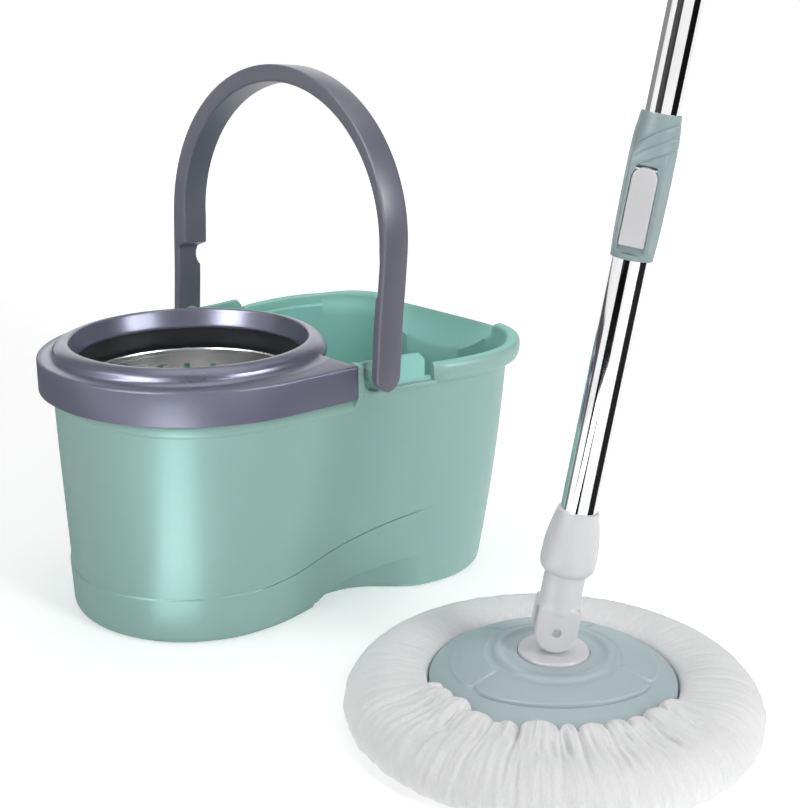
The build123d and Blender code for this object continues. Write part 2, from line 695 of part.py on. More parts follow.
# ------------------------------------------------------- lock collar and lever
LEVER_W = 18.0
LEVER_IN, LEVER_OUT = 14.4, 18.2
LEVER_PIN_S = 360.0
LEVER_MID = (LEVER_IN + LEVER_OUT) / 2
LEVER_LOW = 307.0
with BuildPart() as lock_collar:
    # swelling that carries the lever
    with BuildSketch(Plane(origin=POLE.origin + POLE.z_dir * 298.0, x_dir=LEVER_SIDE.x_dir, z_dir=POLE.z_dir)):
        with Locations((10.5, 0)):
            RectangleRounded(13.0, 24.0, 3.2)
    extrude(amount=76.0)
    with BuildSketch(LEVER_SIDE):
        with BuildLine():
            Polyline((3, 298), (14.4, 298), (17.7, 309), (17.7, 363), (14.6, 374), (3, 374), close=True)
        make_face()
    extrude(amount=20.0, both=True, mode=Mode.INTERSECT)
    with BuildSketch(SECTION):
        with BuildLine():
            Polyline(
                (14.9, S_COLLAR_TOP), (12.68, S_COLLAR_TOP), (12.68, S_TUBE_LOW_TOP),
                (TUBE_LOW_R, S_TUBE_LOW_TOP), (TUBE_LOW_R, S_COLLAR), (15.0, S_COLLAR),
            )
            Spline(
                (15.0, S_COLLAR), (16.0, 306.0), (16.5, 325.0), (16.6, 350.0), (16.5, 368.0),
                (16.1, 381.0), (14.9, S_COLLAR_TOP),
            )
        make_face()
    revolve(axis=POLE_AXIS)
    with BuildSketch(POLE.offset(S_COLLAR - 1)):
        Circle(TUBE_LOW_R)
    extrude(amount=S_TUBE_LOW_TOP - S_COLLAR + 1, mode=Mode.SUBTRACT)
    with BuildSketch(POLE.offset(S_TUBE_LOW_TOP)):
        Circle(12.68)
    extrude(amount=100, mode=Mode.SUBTRACT)
    # window of the lever, with the finger recess below it
    with BuildSketch(LEVER_FRONT.offset(9.0)):
        with Locations((0, (300.6 + 337.0) / 2)):
            Rectangle(LEVER_W + 0.8, 337.0 - 300.6)
    extrude(amount=20, mode=Mode.SUBTRACT)
    with BuildSketch(LEVER_FRONT.offset(13.9)):
        with Locations((0, (336.0 + 353.0) / 2)):
            Rectangle(LEVER_W + 0.8, 17.0)
        with Locations((0, 353.0)):
            Circle(LEVER_W / 2 + 0.4)
        with Locations((0, 359.6)):
            Rectangle(15.0, 6.0)
    extrude(amount=20, mode=Mode.SUBTRACT)
    # pocket of the clamp pad and bore of the lever pin
    with BuildSketch(LEVER_FRONT.offset(9.0)):
        with Locations((0, 350.0)):
            Rectangle(8.0, 12.0)
    extrude(amount=6.0, mode=Mode.SUBTRACT)
    with BuildSketch(LEVER_SIDE):
        with Locations((LEVER_MID, LEVER_PIN_S)):
            Circle(1.0)
    extrude(amount=11.0, both=True, mode=Mode.SUBTRACT)
    # three slanted grip grooves above the lever
    tilt = math.radians(27.0)
    slant = POLE.z_dir * math.cos(tilt) - POLE.x_dir * math.sin(tilt)
    for s, r in ((364.5, 15.95), (372.5, 15.8), (380.5, 15.45)):
        with BuildSketch(Plane(origin=POLE.origin + POLE.z_dir * s, x_dir=POLE.y_dir, z_dir=slant)):
            Circle(30.0)
            Ellipse(r, r / math.cos(tilt), mode=Mode.SUBTRACT)
            with Locations((-20.0, -9.5)):
                Rectangle(40.0, 41.0, mode=Mode.INTERSECT)
        extrude(amount=0.9, mode=Mode.SUBTRACT)
lock_collar.part.label = "lock_collar"
export_step(lock_collar.part, "parts/lock_collar.step")

with BuildPart() as lock_lever:
    with BuildSketch(LEVER_SIDE):
        with BuildLine():
            Line((LEVER_IN, LEVER_LOW), (LEVER_IN, LEVER_PIN_S))
            ThreePointArc(
                (LEVER_IN, LEVER_PIN_S), (LEVER_MID, LEVER_PIN_S + (LEVER_OUT - LEVER_IN) / 2),
                (LEVER_OUT, LEVER_PIN_S),
            )
            Line((LEVER_OUT, LEVER_PIN_S), (LEVER_OUT, 324.0))
            Spline((LEVER_OUT, 324.0), (18.7, 314.0), (19.6, LEVER_LOW), tangents=[(0, -1), (0.2, -1)])
            Line((19.6, LEVER_LOW), (LEVER_IN, LEVER_LOW))
        make_face()
    extrude(amount=LEVER_W / 2, both=True)
    with BuildSketch(LEVER_FRONT):
        with Locations((0, (LEVER_LOW - 1 + 353.0) / 2)):
            Rectangle(LEVER_W, 353.0 - LEVER_LOW + 1)
        with Locations((0, 353.0)):
            Circle(LEVER_W / 2)
    extrude(amount=40, mode=Mode.INTERSECT)
    with BuildSketch(LEVER_SIDE):
        with Locations((LEVER_MID, LEVER_PIN_S)):
            Circle(1.05)
    extrude(amount=20, both=True, mode=Mode.SUBTRACT)
lock_lever.part.label = "lock_lever"
export_step(lock_lever.part, "parts/lock_lever.step")

with BuildPart() as lever_pin:
    with BuildSketch(LEVER_SIDE):
        with Locations((LEVER_MID, LEVER_PIN_S)):
            Circle(1.0)
    extrude(amount=10.6, both=True)
lever_pin.part.label = "lever_pin"
export_step(lever_pin.part, "parts/lever_pin.step")

with BuildPart() as clamp_pad:
    with BuildSketch(LEVER_FRONT.offset(12.95)):
        with Locations((0, 350.0)):
            Rectangle(7.4, 11.4)
    extrude(amount=0.9)
clamp_pad.part.label = "clamp_pad"
export_step(clamp_pad.part, "parts/clamp_pad.step")

# ------------------------------------------------------------------ upper pole
with BuildPart() as upper_tube:
    with BuildSketch(POLE.offset(S_UP_LOW)):
        Circle(TUBE_UP_R)
        Circle(TUBE_UP_IN, mode=Mode.SUBTRACT)
    extrude(amount=S_UP_TOP - S_UP_LOW)
upper_tube.part.label = "upper_tube"
export_step(upper_tube.part, "parts/upper_tube.step")

CLUTCH_BORE = 9.2
with BuildPart() as clutch_housing:
    with BuildSketch(SECTION):
        with BuildLine():
            Polyline(
                (CLUTCH_BORE, 226.0), (TUBE_LOW_IN - 0.06, 226.0), (TUBE_LOW_IN - 0.06, S_UP_LOW),
                (TUBE_UP_IN, S_UP_LOW), (TUBE_UP_IN, 272.0), (4.6, 272.0), (4.6, 250.0),
                (CLUTCH_BORE, 250.0), close=True,
            )
        make_face()
    revolve(axis=POLE_AXIS)
clutch_housing.part.label = "clutch_housing"
export_step(clutch_housing.part, "parts/clutch_housing.step")

with BuildPart() as clutch_cap:
    with BuildSketch(POLE.offset(226.0)):
        Circle(CLUTCH_BORE)
        Circle(4.6, mode=Mode.SUBTRACT)
    extrude(amount=4.0)
clutch_cap.part.label = "clutch_cap"
export_step(clutch_cap.part, "parts/clutch_cap.step")

with BuildPart() as clutch_rollers:
    with BuildSketch(POLE.offset(232.0)):
        with PolarLocations(8.05, 4):
            Circle(0.8)
    extrude(amount=16.0)
clutch_rollers.part.label = "clutch_rollers"
export_step(clutch_rollers.part, "parts/clutch_rollers.step")

with BuildPart() as drive_nut:
    with BuildSketch(POLE.offset(231.0)):
        Circle(6.9)
    extrude(amount=18.0)
    for s, h in ((231.0, 7.5), (241.5, 7.5)):
        with BuildSketch(POLE.offset(s)):
            Circle(3.8)
        extrude(amount=h, mode=Mode.SUBTRACT)
    with BuildSketch(POLE.offset(231.0)):
        Rectangle(7.4, 3.9)
    extrude(amount=18.0, mode=Mode.SUBTRACT)
drive_nut.part.label = "drive_nut"
export_step(drive_nut.part, "parts/drive_nut.step")

with BuildPart() as top_grip:
    with BuildSketch(SECTION):
        with BuildLine():
            Polyline((15.4, S_UP_TOP), (TUBE_UP_R, S_UP_TOP), (TUBE_UP_R, S_GRIP), (14.2, S_GRIP), (15.2, S_GRIP + 3))
            Spline(
                (15.2, S_GRIP + 3), (14.9, S_GRIP + 25), (15.9, S_GRIP + 55), (15.0, S_GRIP + 90),
                (15.4, S_UP_TOP),
            )
        make_face()
    revolve(axis=POLE_AXIS)
top_grip.part.label = "top_grip"
export_step(top_grip.part, "parts/top_grip.step")

HANG_S, HANG_R = 1049.0, 7.0
with BuildPart() as end_cap:
    with BuildSketch(SECTION):
        with BuildLine():
            Polyline(
                (0, 1004), (TUBE_UP_IN - 1.0, 1004), (TUBE_UP_IN, 1008), (TUBE_UP_IN, S_UP_TOP),
                (15.4, S_UP_TOP), (15.4, 1034.0), (12.0, 1038.0), (0, 1040.0), close=True,
            )
        make_face()
    revolve(axis=POLE_AXIS)
    with BuildSketch(SIDE_VIEW):
        with Locations((0, HANG_S)):
            Circle(15.0)
        with Locations((0, (1034.0 + HANG_S) / 2)):
            Rectangle(30.0, HANG_S - 1034.0)
    extrude(amount=6.0, both=True)
    with BuildSketch(SIDE_VIEW):
        with Locations((0, HANG_S)):
            Circle(HANG_R)
    extrude(amount=20.0, both=True, mode=Mode.SUBTRACT)
end_cap.part.label = "end_cap"
export_step(end_cap.part, "parts/end_cap.step")
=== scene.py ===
import math

import bmesh
import bpy
import numpy as np
from mathutils import Matrix, Vector, kdtree


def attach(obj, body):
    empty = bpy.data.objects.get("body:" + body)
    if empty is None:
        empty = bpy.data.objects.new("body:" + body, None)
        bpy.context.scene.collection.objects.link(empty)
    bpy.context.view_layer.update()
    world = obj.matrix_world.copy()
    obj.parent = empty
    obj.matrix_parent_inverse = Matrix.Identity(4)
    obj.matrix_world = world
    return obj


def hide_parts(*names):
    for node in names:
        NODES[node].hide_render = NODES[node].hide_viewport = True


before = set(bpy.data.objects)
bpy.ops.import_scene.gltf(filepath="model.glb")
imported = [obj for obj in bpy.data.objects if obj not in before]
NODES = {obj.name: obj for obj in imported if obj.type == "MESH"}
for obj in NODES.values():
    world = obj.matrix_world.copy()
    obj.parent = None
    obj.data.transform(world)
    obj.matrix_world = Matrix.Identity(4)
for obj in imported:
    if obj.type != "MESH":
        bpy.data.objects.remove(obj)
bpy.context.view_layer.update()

MM = 0.001
rng = np.random.default_rng(7)


# ------------------------------------------------------------------ materials
def new_material(name):
    m = bpy.data.materials.new(name)
    m.use_nodes = True
    t = m.node_tree
    t.nodes.clear()
    out = t.nodes.new("ShaderNodeOutputMaterial")
    bsdf = t.nodes.new("ShaderNodeBsdfPrincipled")
    t.links.new(bsdf.outputs["BSDF"], out.inputs["Surface"])
    return m, t, bsdf


def coords(t, scale=(1, 1, 1)):
    c = t.nodes.new("ShaderNodeTexCoord")
    mp = t.nodes.new("ShaderNodeMapping")
    mp.inputs["Scale"].default_value = scale
    t.links.new(c.outputs["Object"], mp.inputs["Vector"])
    return mp.outputs["Vector"]


def noise(t, vec, scale, detail=4.0, rough=0.55):
    n = t.nodes.new("ShaderNodeTexNoise")
    n.inputs["Scale"].default_value = scale
    n.inputs["Detail"].default_value = detail
    n.inputs["Roughness"].default_value = rough
    t.links.new(vec, n.inputs["Vector"])
    return n.outputs["Fac"]


def remap(t, fac, lo, hi, a=0.25, b=0.75):
    r = t.nodes.new("ShaderNodeMapRange")
    r.inputs["From Min"].default_value = a
    r.inputs["From Max"].default_value = b
    r.inputs["To Min"].default_value = lo
    r.inputs["To Max"].default_value = hi
    t.links.new(fac, r.inputs["Value"])
    return r.outputs["Result"]


def two_colours(t, fac, c1, c2):
    r = t.nodes.new("ShaderNodeValToRGB")
    r.color_ramp.elements[0].position = 0.3
    r.color_ramp.elements[0].color = (*c1, 1)
    r.color_ramp.elements[1].position = 0.7
    r.color_ramp.elements[1].color = (*c2, 1)
    t.links.new(fac, r.inputs["Fac"])
    return r.outputs["Color"]


def bump(t, height, strength, distance, normal=None):
    b = t.nodes.new("ShaderNodeBump")
    b.inputs["Strength"].default_value = strength
    b.inputs["Distance"].default_value = distance
    t.links.new(height, b.inputs["Height"])
    if normal is not None:
        t.links.new(normal, b.inputs["Normal"])
    return b.outputs["Normal"]


def edge_round(t, radius):
    b = t.nodes.new("ShaderNodeBevel")
    b.samples = 4
    b.inputs["Radius"].default_value = radius
    return b.outputs["Normal"]


def srgb(r, g, b):
    def f(v):
        v = v / 255.0
        return v / 12.92 if v <= 0.04045 else ((v + 0.055) / 1.055) ** 2.4
    return (f(r), f(g), f(b))


def scaled(c, k):
    return tuple(min(1.0, max(0.0, v * k)) for v in c)


def plastic(name, colour, rough=0.38, grain=1.0, edge=0.0006, spec=0.5, coat=0.0, spread=0.03, sss=0.0, tint=None, metallic=0.0):
    """Moulded plastic: faint cloudy colour, uneven gloss, fine moulded texture, rounded edges."""
    m, t, p = new_material(name)
    v = coords(t)
    cloud = noise(t, v, 5.0, 1.0)
    t.links.new(two_colours(t, cloud, scaled(colour, 1 - spread), scaled(colour, 1 + spread)), p.inputs["Base Color"])
    gloss = noise(t, v, 14.0, 2.0)
    t.links.new(remap(t, gloss, rough - 0.025, rough + 0.03), p.inputs["Roughness"])
    fine = noise(t, v, 1500.0, 2.0)
    wide = noise(t, v, 16.0, 1.0)
    n = edge_round(t, edge) if edge else None
    n = bump(t, wide, 0.04 * grain, 0.0006, n)
    n = bump(t, fine, 0.08 * grain, 0.00006, n)
    t.links.new(n, p.inputs["Normal"])
    p.inputs["Specular IOR Level"].default_value = spec
    if tint:
        p.inputs["Specular Tint"].default_value = (*tint, 1)
    p.inputs["Metallic"].default_value = metallic
    p.inputs["Coat Weight"].default_value = coat
    p.inputs["Coat Roughness"].default_value = 0.22
    if sss:
        p.inputs["Subsurface Weight"].default_value = sss
        p.inputs["Subsurface Radius"].default_value = (0.004, 0.004, 0.004)
        p.inputs["Subsurface Scale"].default_value = 0.5
    return m


def metal(name, colour, rough, axis_scale, edge=0.0003, streak=0.06):
    """Drawn or brushed metal: streaks along one direction in gloss and bump."""
    m, t, p = new_material(name)
    v = coords(t, axis_scale)
    s = noise(t, v, 220.0, 4.0, 0.6)
    flat = coords(t)
    cloud = noise(t, flat, 22.0, 3.0)
    t.links.new(two_colours(t, cloud, scaled(colour, 0.94), scaled(colour, 1.03)), p.inputs["Base Color"])
    p.inputs["Metallic"].default_value = 1.0
    t.links.new(remap(t, s, max(0.02, rough - streak), rough + streak), p.inputs["Roughness"])
    n = edge_round(t, edge) if edge else None
    t.links.new(bump(t, s, 0.06, 0.00006, n), p.inputs["Normal"])
    return m


def fibre_material():
    """Soft white microfibre: strands that run outwards, in colour and bump."""
    m, t, p = new_material("microfibre")
    at = t.nodes.new("ShaderNodeAttribute")
    at.attribute_name = "strand"
    st = noise(t, at.outputs["Vector"], 6.0, 6.0, 0.6)
    wide = noise(t, coords(t), 26.0, 4.0)
    nap = noise(t, coords(t), 900.0, 3.0)
    mix = t.nodes.new("ShaderNodeMath")
    mix.operation = "MULTIPLY_ADD"
    mix.inputs[1].default_value = 0.6
    t.links.new(st, mix.inputs[0])
    half = t.nodes.new("ShaderNodeMath")
    half.operation = "MULTIPLY"
    half.inputs[1].default_value = 0.4
    t.links.new(wide, half.inputs[0])
    t.links.new(half.outputs[0], mix.inputs[2])
    t.links.new(two_colours(t, mix.outputs[0], (0.70, 0.70, 0.71), (0.82, 0.82, 0.82)), p.inputs["Base Color"])
    t.links.new(remap(t, st, 0.86, 0.98), p.inputs["Roughness"])
    n = bump(t, st, 0.35, 0.0016)
    n = bump(t, nap, 0.35, 0.0003, n)
    t.links.new(n, p.inputs["Normal"])
    p.inputs["Specular IOR Level"].default_value = 0.15
    p.inputs["Sheen Weight"].default_value = 0.25
    p.inputs["Sheen Roughness"].default_value = 0.5
    return m


def assign(node, mat):
    o = NODES[node]
    o.data.materials.clear()
    o.data.materials.append(mat)


C_TUB = (0.270, 0.418, 0.379)
C_INSIDE = (0.27, 0.56, 0.48)
C_COVER = (0.150, 0.153, 0.212)
C_BAIL = srgb(98, 98, 112)
C_SAGE = (0.215, 0.285, 0.292)
C_DISC = srgb(166, 182, 185)
C_WHITE = (0.63, 0.63, 0.64)

M = {
    "tub": plastic("tub_plastic", C_TUB, rough=0.38, grain=0.7, edge=0.0, spec=0.8, tint=(0.5, 1.0, 0.94)),
    "cover": plastic("cover_plastic", C_COVER, rough=0.29, grain=0.3, edge=0.0, spec=0.8, metallic=0.55),
    "bail": plastic("bail_plastic", C_BAIL, rough=0.36, grain=0.9, edge=0.0, spec=0.7),
    # near-black for the splash skirt under the funnel: painted shade
    "dark": plastic("throat_painted_shade", (0.018, 0.018, 0.022), rough=0.42, grain=0.8, edge=0.0, spread=0.1),
    "white": plastic("white_plastic", C_WHITE, rough=0.36, grain=0.6, edge=0.0008, spread=0.02, sss=0.15),
    "disc": plastic("disc_plastic", C_DISC, rough=0.42, grain=0.8, edge=0.0),
    "sage": plastic("sage_plastic", C_SAGE, rough=0.46, grain=1.0, edge=0.0006),
    "lever": plastic("lever_plastic", (0.53, 0.53, 0.54), rough=0.36, grain=0.7, edge=0.0010, spread=0.02),
    "nylon": plastic("nylon_plastic", srgb(224, 222, 212), rough=0.45, grain=0.8, edge=0.0004, spread=0.03),
    "chrome": metal("tube_chrome", (0.86, 0.86, 0.87), 0.06, (1, 1, 0.03), streak=0.03),
    "steel": metal("basket_steel", (0.66, 0.66, 0.655), 0.24, (0.04, 0.04, 1.0), streak=0.07),
    "zinc": metal("zinc_steel", (0.60, 0.60, 0.62), 0.33, (1, 1, 1)),
    "brass": metal("nut_brass", (0.72, 0.53, 0.25), 0.30, (1, 1, 1)),
    "fibre": fibre_material(),
    "rubber": plastic("pad_rubber", (0.02, 0.02, 0.02), rough=0.72, grain=1.4, edge=0.0004, spread=0.2),
}
for node, key in {
    "wringer_cover": "cover", "bail_pivots": "cover", "spindle_post": "white", "post_screws": "zinc",
    "spindle_pin": "zinc", "thrust_washer": "nylon", "spindle_clip": "zinc", "spin_basket": "steel",
    "basket_hub": "white", "hub_bush": "nylon", "hub_screws": "zinc", "bail_handle": "bail",
    "neck_yoke": "white", "hinge_pin": "zinc", "joint_sleeve": "white", "sleeve_screw": "zinc",
    "lower_tube": "chrome", "rod_anchor": "nylon", "twisted_rod": "zinc", "lock_collar": "sage",
    "lever_pin": "zinc", "clamp_pad": "rubber", "upper_tube": "chrome", "clutch_housing": "nylon",
    "clutch_cap": "nylon", "clutch_rollers": "zinc", "top_grip": "sage", "end_cap": "sage",
    "drive_nut": "brass", "lock_lever": "lever", "swivel_hub": "white", "hub_washer": "zinc",
    "hub_bolt": "zinc", "mop_disc": "disc", "refill_band": "white", "fibre_ring": "white", "tub": "tub",
}.items():
    assign(node, M[key])


# ---------------------------------------------------------------- mesh helpers
def mesh_piece(name, verts, faces, mat, body, sharp=35.0, replaces=()):
    """A new piece from points in millimetres."""
    me = bpy.data.meshes.new(name)
    me.from_pydata([tuple(v) for v in np.asarray(verts, float) * MM], [], [tuple(int(i) for i in f) for f in faces])
    bm = bmesh.new()
    bm.from_mesh(me)
    bmesh.ops.remove_doubles(bm, verts=bm.verts, dist=1e-6)
    bmesh.ops.dissolve_degenerate(bm, edges=bm.edges, dist=1e-7)
    bmesh.ops.recalc_face_normals(bm, faces=bm.faces)
    bm.to_mesh(me)
    bm.free()
    me.materials.append(mat)
    me.polygons.foreach_set("use_smooth", [True] * len(me.polygons))
    if sharp:
        me.set_sharp_from_angle(angle=math.radians(sharp))
    o = bpy.data.objects.new(name, me)
    bpy.context.scene.collection.objects.link(o)
    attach(o, body)
    if replaces:
        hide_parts(*replaces)
    return o


def grid_faces(rows, cols, close_cols=True, close_rows=False, base=0):
    """Quads of a grid whose point (r, c) has index base + r * cols + c."""
    out = []
    for r in range(rows if close_rows else rows - 1):
        r2 = (r + 1) % rows
        for c in range(cols if close_cols else cols - 1):
            c2 = (c + 1) % cols
            out.append((base + r * cols + c, base + r * cols + c2, base + r2 * cols + c2, base + r2 * cols + c))
    return out


def smooth(a, b, x):
    t = np.clip((np.asarray(x, float) - a) / (b - a), 0, 1)
    return t * t * (3 - 2 * t)


def fuller_inside(mat, colour):
    """Second colour of a plastic, used where the mesh attribute "inside" is 1."""
    t = mat.node_tree
    p = next(n for n in t.nodes if n.type == "BSDF_PRINCIPLED")
    link = p.inputs["Base Color"].links[0]
    first = link.from_socket
    at = t.nodes.new("ShaderNodeAttribute")
    at.attribute_name = "inside"
    mix = t.nodes.new("ShaderNodeMix")
    mix.data_type = "RGBA"
    second = two_colours(t, noise(t, coords(t), 5.0, 1.0), scaled(colour, 0.97), scaled(colour, 1.03))
    t.links.new(at.outputs["Fac"], mix.inputs[0])
    t.links.new(first, mix.inputs[6])
    t.links.new(second, mix.inputs[7])
    t.links.new(mix.outputs[2], p.inputs["Base Color"])
    # and duller
    dull = t.nodes.new("ShaderNodeMix")
    t.links.new(at.outputs["Fac"], dull.inputs[0])
    t.links.new(p.inputs["Roughness"].links[0].from_socket, dull.inputs[2])
    dull.inputs[3].default_value = 0.68
    t.links.new(dull.outputs[0], p.inputs["Roughness"])


fuller_inside(M["tub"], C_INSIDE)


def satin_band(mat, colour, inner, outer):
    """Outside a radius the moulding is satin and more violet, inside it is polished."""
    t = mat.node_tree
    p = next(n for n in t.nodes if n.type == "BSDF_PRINCIPLED")
    flat = t.nodes.new("ShaderNodeVectorMath")
    flat.operation = "LENGTH"
    t.links.new(coords(t, (1, 1, 0)), flat.inputs[0])
    mask = remap(t, flat.outputs["Value"], 0.0, 1.0, inner, outer)
    for name, value in (("Roughness", 0.42), ("Metallic", 0.35)):
        mix = t.nodes.new("ShaderNodeMix")
        t.links.new(mask, mix.inputs[0])
        if p.inputs[name].links:
            t.links.new(p.inputs[name].links[0].from_socket, mix.inputs[2])
        else:
            mix.inputs[2].default_value = p.inputs[name].default_value
        mix.inputs[3].default_value = value
        t.links.new(mix.outputs[0], p.inputs[name])
    mix = t.nodes.new("ShaderNodeMix")
    mix.data_type = "RGBA"
    t.links.new(mask, mix.inputs[0])
    t.links.new(p.inputs["Base Color"].links[0].from_socket, mix.inputs[6])
    t.links.new(two_colours(t, noise(t, coords(t), 5.0, 1.0), scaled(colour, 0.97), scaled(colour, 1.03)), mix.inputs[7])
    t.links.new(mix.outputs[2], p.inputs["Base Color"])


satin_band(M["cover"], (0.112, 0.115, 0.170), 0.1275, 0.1295)

# -------------------------------------------------------------------- the tub
FOOT = [(-113, 0), (-108, 33), (-80.5, 80), (-39, 106), (0, 113), (45, 106.5), (80, 99), (114, 104.5), (151, 123), (192, 136), (230, 127), (258, 101), (268.5, 64), (271, 0)]
KNEE = [(-113.5, 0), (-110, 32), (-89.5, 78.5), (-52, 109), (-13, 121.5), (37, 122), (78, 121.5), (113, 125), (152, 135), (204, 143), (243, 133.5), (271, 107), (281.5, 69), (283.5, 0)]
RIM = [(-115, 0), (-112.0, 31), (-96.3, 77.4), (-62.6, 112.4), (-24.3, 128.3), (30, 132), (76, 133), (112, 135.5), (154, 142), (214, 149), (254, 139.5), (283, 112), (293, 73), (295, 0)]
LEVELS = (0.0, 92.0, 228.8)


class Closed:
    """Closed cubic through the given half outline and its mirror image."""

    def __init__(self, half):
        P = np.array(list(half) + [(x, -y) for x, y in half[-2:0:-1]], float)
        n = len(P)
        d = np.linalg.norm(np.roll(P, -1, 0) - P, axis=1)
        A, B = np.zeros((n, n)), np.zeros((n, 2))
        for i in range(n):
            h0, h1 = d[i - 1], d[i]
            A[i, i - 1] += h0 / 6
            A[i, i] += (h0 + h1) / 3
            A[i, (i + 1) % n] += h1 / 6
            B[i] = (P[(i + 1) % n] - P[i]) / h1 - (P[i] - P[i - 1]) / h0
        self.P, self.d, self.n, self.M = P, d, n, np.linalg.solve(A, B)

    def at(self, q):
        """Points and derivatives at knot positions q."""
        q = np.asarray(q, float)
        k = np.floor(q).astype(int) % self.n
        f = (q - np.floor(q))[:, None]
        h = self.d[k][:, None]
        t = f * h
        a, b, p, r = self.M[k], self.M[(k + 1) % self.n], self.P[k], self.P[(k + 1) % self.n]
        pt = a * (h - t) ** 3 / (6 * h) + b * t ** 3 / (6 * h) + (p / h - a * h / 6) * (h - t) + (r / h - b * h / 6) * t
        dv = (-a * (h - t) ** 2 / (2 * h) + b * t ** 2 / (2 * h) - (p / h - a * h / 6) + (r / h - b * h / 6)) * h
        return pt, dv


LOOPS = [Closed(o) for o in (FOOT, KNEE, RIM)]


def level_weights(z):
    a, b, c = LEVELS
    return ((z - b) * (z - c) / ((a - b) * (a - c)), (z - a) * (z - c) / ((b - a) * (b - c)), (z - a) * (z - b) / ((c - a) * (c - b)))


def wall(q, n, z):
    """Points of the tub wall: knot position, distance outwards and height, all arrays of one length."""
    w = level_weights(z)
    pts = [L.at(q) for L in LOOPS]
    p = sum(w[i][:, None] * pts[i][0] for i in range(3))
    d = sum(w[i][:, None] * pts[i][1] for i in range(3))
    d /= np.linalg.norm(d, axis=1)[:, None]
    # the outline runs from the nose over +y, so outwards is to the left of the tangent
    out = np.stack([-d[:, 1], d[:, 0]], axis=1)
    xy = p + n[:, None] * out
    return np.column_stack([xy, z])


SPOUT_HALF = 80.0
SPOUT_TOP = 217.0
CREASE_X = [-130, -122, -114, -97, -77, -46, -29, 17, 60, 86, 111, 138, 166, 205, 310]
CREASE_Z = [34.0, 36.5, 40.5, 42.0, 42.0, 42.8, 43.6, 47.8, 56.5, 62.2, 68.4, 75.0, 80.8, 86.0, 92.0]
FOLD_X = [-130, 38, 46, 66, 90, 121, 154, 190, 310]
FOLD_Z = [3.0, 3.0, 6.5, 13.0, 19.5, 26.5, 32.5, 34.0, 34.0]


def soft_table(x, xs, zs):
    """Table look-up rounded over a few millimetres."""
    return sum(np.interp(x + s, xs, zs) for s in (-9, -4.5, 0, 4.5, 9)) / 5


def rim_profile(x, y):
    """Eighteen points (outwards, height) over the top edge of the wall at a plan position, outer to inner."""
    ay = abs(y)
    if x < 76.4:      # below the cover
        return [(0, 186), (0, 189.2), (1.9, 191.2), (2.3, 193), (2.3, 198.6), (1.4, 200.8), (0.2, 202.0), (0.1, 212), (0, 222), (0, 225), (0, 226.6), (-0.2, 227.9), (-0.8, 228.6), (-1.5, 228.8), (-2.3, 228.6), (-2.9, 227.9), (-3, 220), (-3, 198)]
    if x < 82.6:      # ear, flush with the skirt of the cover
        e = 141.8 - ay
        return [(0, 186), (0.1, 198), (1.2, 201.2), (e - 1.2, 202.1), (e - 0.2, 202.7), (e, 203.8), (e, 210), (e, 217), (e, 224), (e, 229.6), (e - 0.4, 231.2), (e - 1.6, 232), (3, 232.2), (-1.4, 232.2), (-2.6, 231.6), (-3, 230.4), (-3, 220), (-3, 198)]
    if x < 158.0:     # recess behind the bail, with its ledge and back plate
        zl = 206.4
        if x < 96.0:
            zl = 222.0 - math.sqrt(max(0.0, 15.6 ** 2 - (x - 96.0) ** 2))
            zl = max(zl, 206.4)
        e = (141.8 - ay) if x < 96 else (141.8 - ay) + (x - 96.0) * 0.07
        e = max(e, 8.8)
        top = 231.4 if x < 151.0 else 209.6
        if 144.0 < x < 151.0:
            top = 231.4 - 0.42 * max(0.0, x - 145.0) ** 1.5
        h = top - zl
        return [(0, 186), (0.1, 198), (1.2, 201.2), (e - 1.2, 202.1), (e - 0.2, 202.7), (e, 203.8), (e, zl - 1.4), (e - 0.4, zl - 0.4), (e - 1.4, zl), (3.4, zl + 0.1), (2.2, zl + 0.16 * h), (2.0, zl + 0.6 * h), (1.8, top - 0.9), (1.0, top - 0.1), (-1.4, top), (-2.8, top - 1.0), (-3, top - 0.35 * h), (-3, 198)]
    g = 1.0 + 0.22 * float(smooth(250, 292, x)) * (1 - float(smooth(88, 80, ay)))
    lip = [(0, 186), (0.1, 198), (1.2, 201.4), (6.0, 202.9), (8.8, 204.6), (9.9, 207.4), (10.5, 210.6), (10.6, 214.0), (10.1, 217.2), (8.6, 219.8), (6.2, 221.2), (3.2, 221.4), (0.4, 220.9), (-1.0, 219.6), (-1.2, 217.4), (-1.2, 211.6), (-3.2, 209.2), (-3.2, 198)]
    if 158.0 <= x < 170.0:   # the rim swells in from its start
        s = 0.55 + 0.45 * float(smooth(158, 170, x))
        lip = [(n if i < 4 else n * (s if n > 3 else 1), z) for i, (n, z) in enumerate(lip)]
    lip = [(n * g if n > 0 else n, 206 + (z - 206) * g if z > 206 else z) for n, z in lip]
    w = float(smooth(SPOUT_HALF + 8, SPOUT_HALF - 3, ay)) if x > 230 else 0.0
    if w <= 0:
        return lip
    zc = 184.0 + 26.0 * min(1.0, ay / SPOUT_HALF) ** 2.2
    a = np.linspace(0, 1, 8)
    inner = [(13.1 - 16.1 * k ** 1.35, (SPOUT_TOP - 1.6) + (zc - SPOUT_TOP + 1.6) * k) for k in a][1:]
    outer = [(0.0 + 15.9 * k ** 1.5, (zc - 20) + (SPOUT_TOP - 3.4 - zc + 20) * k) for k in np.linspace(0, 1, 7)]
    spout = outer + [(16.1, SPOUT_TOP - 1.5), (15.6, SPOUT_TOP - 0.4), (14.6, SPOUT_TOP), (13.6, SPOUT_TOP - 0.5)] + inner
    return [((1 - w) * p[0] + w * q[0], (1 - w) * p[1] + w * q[1]) for p, q in zip(lip, spout)]


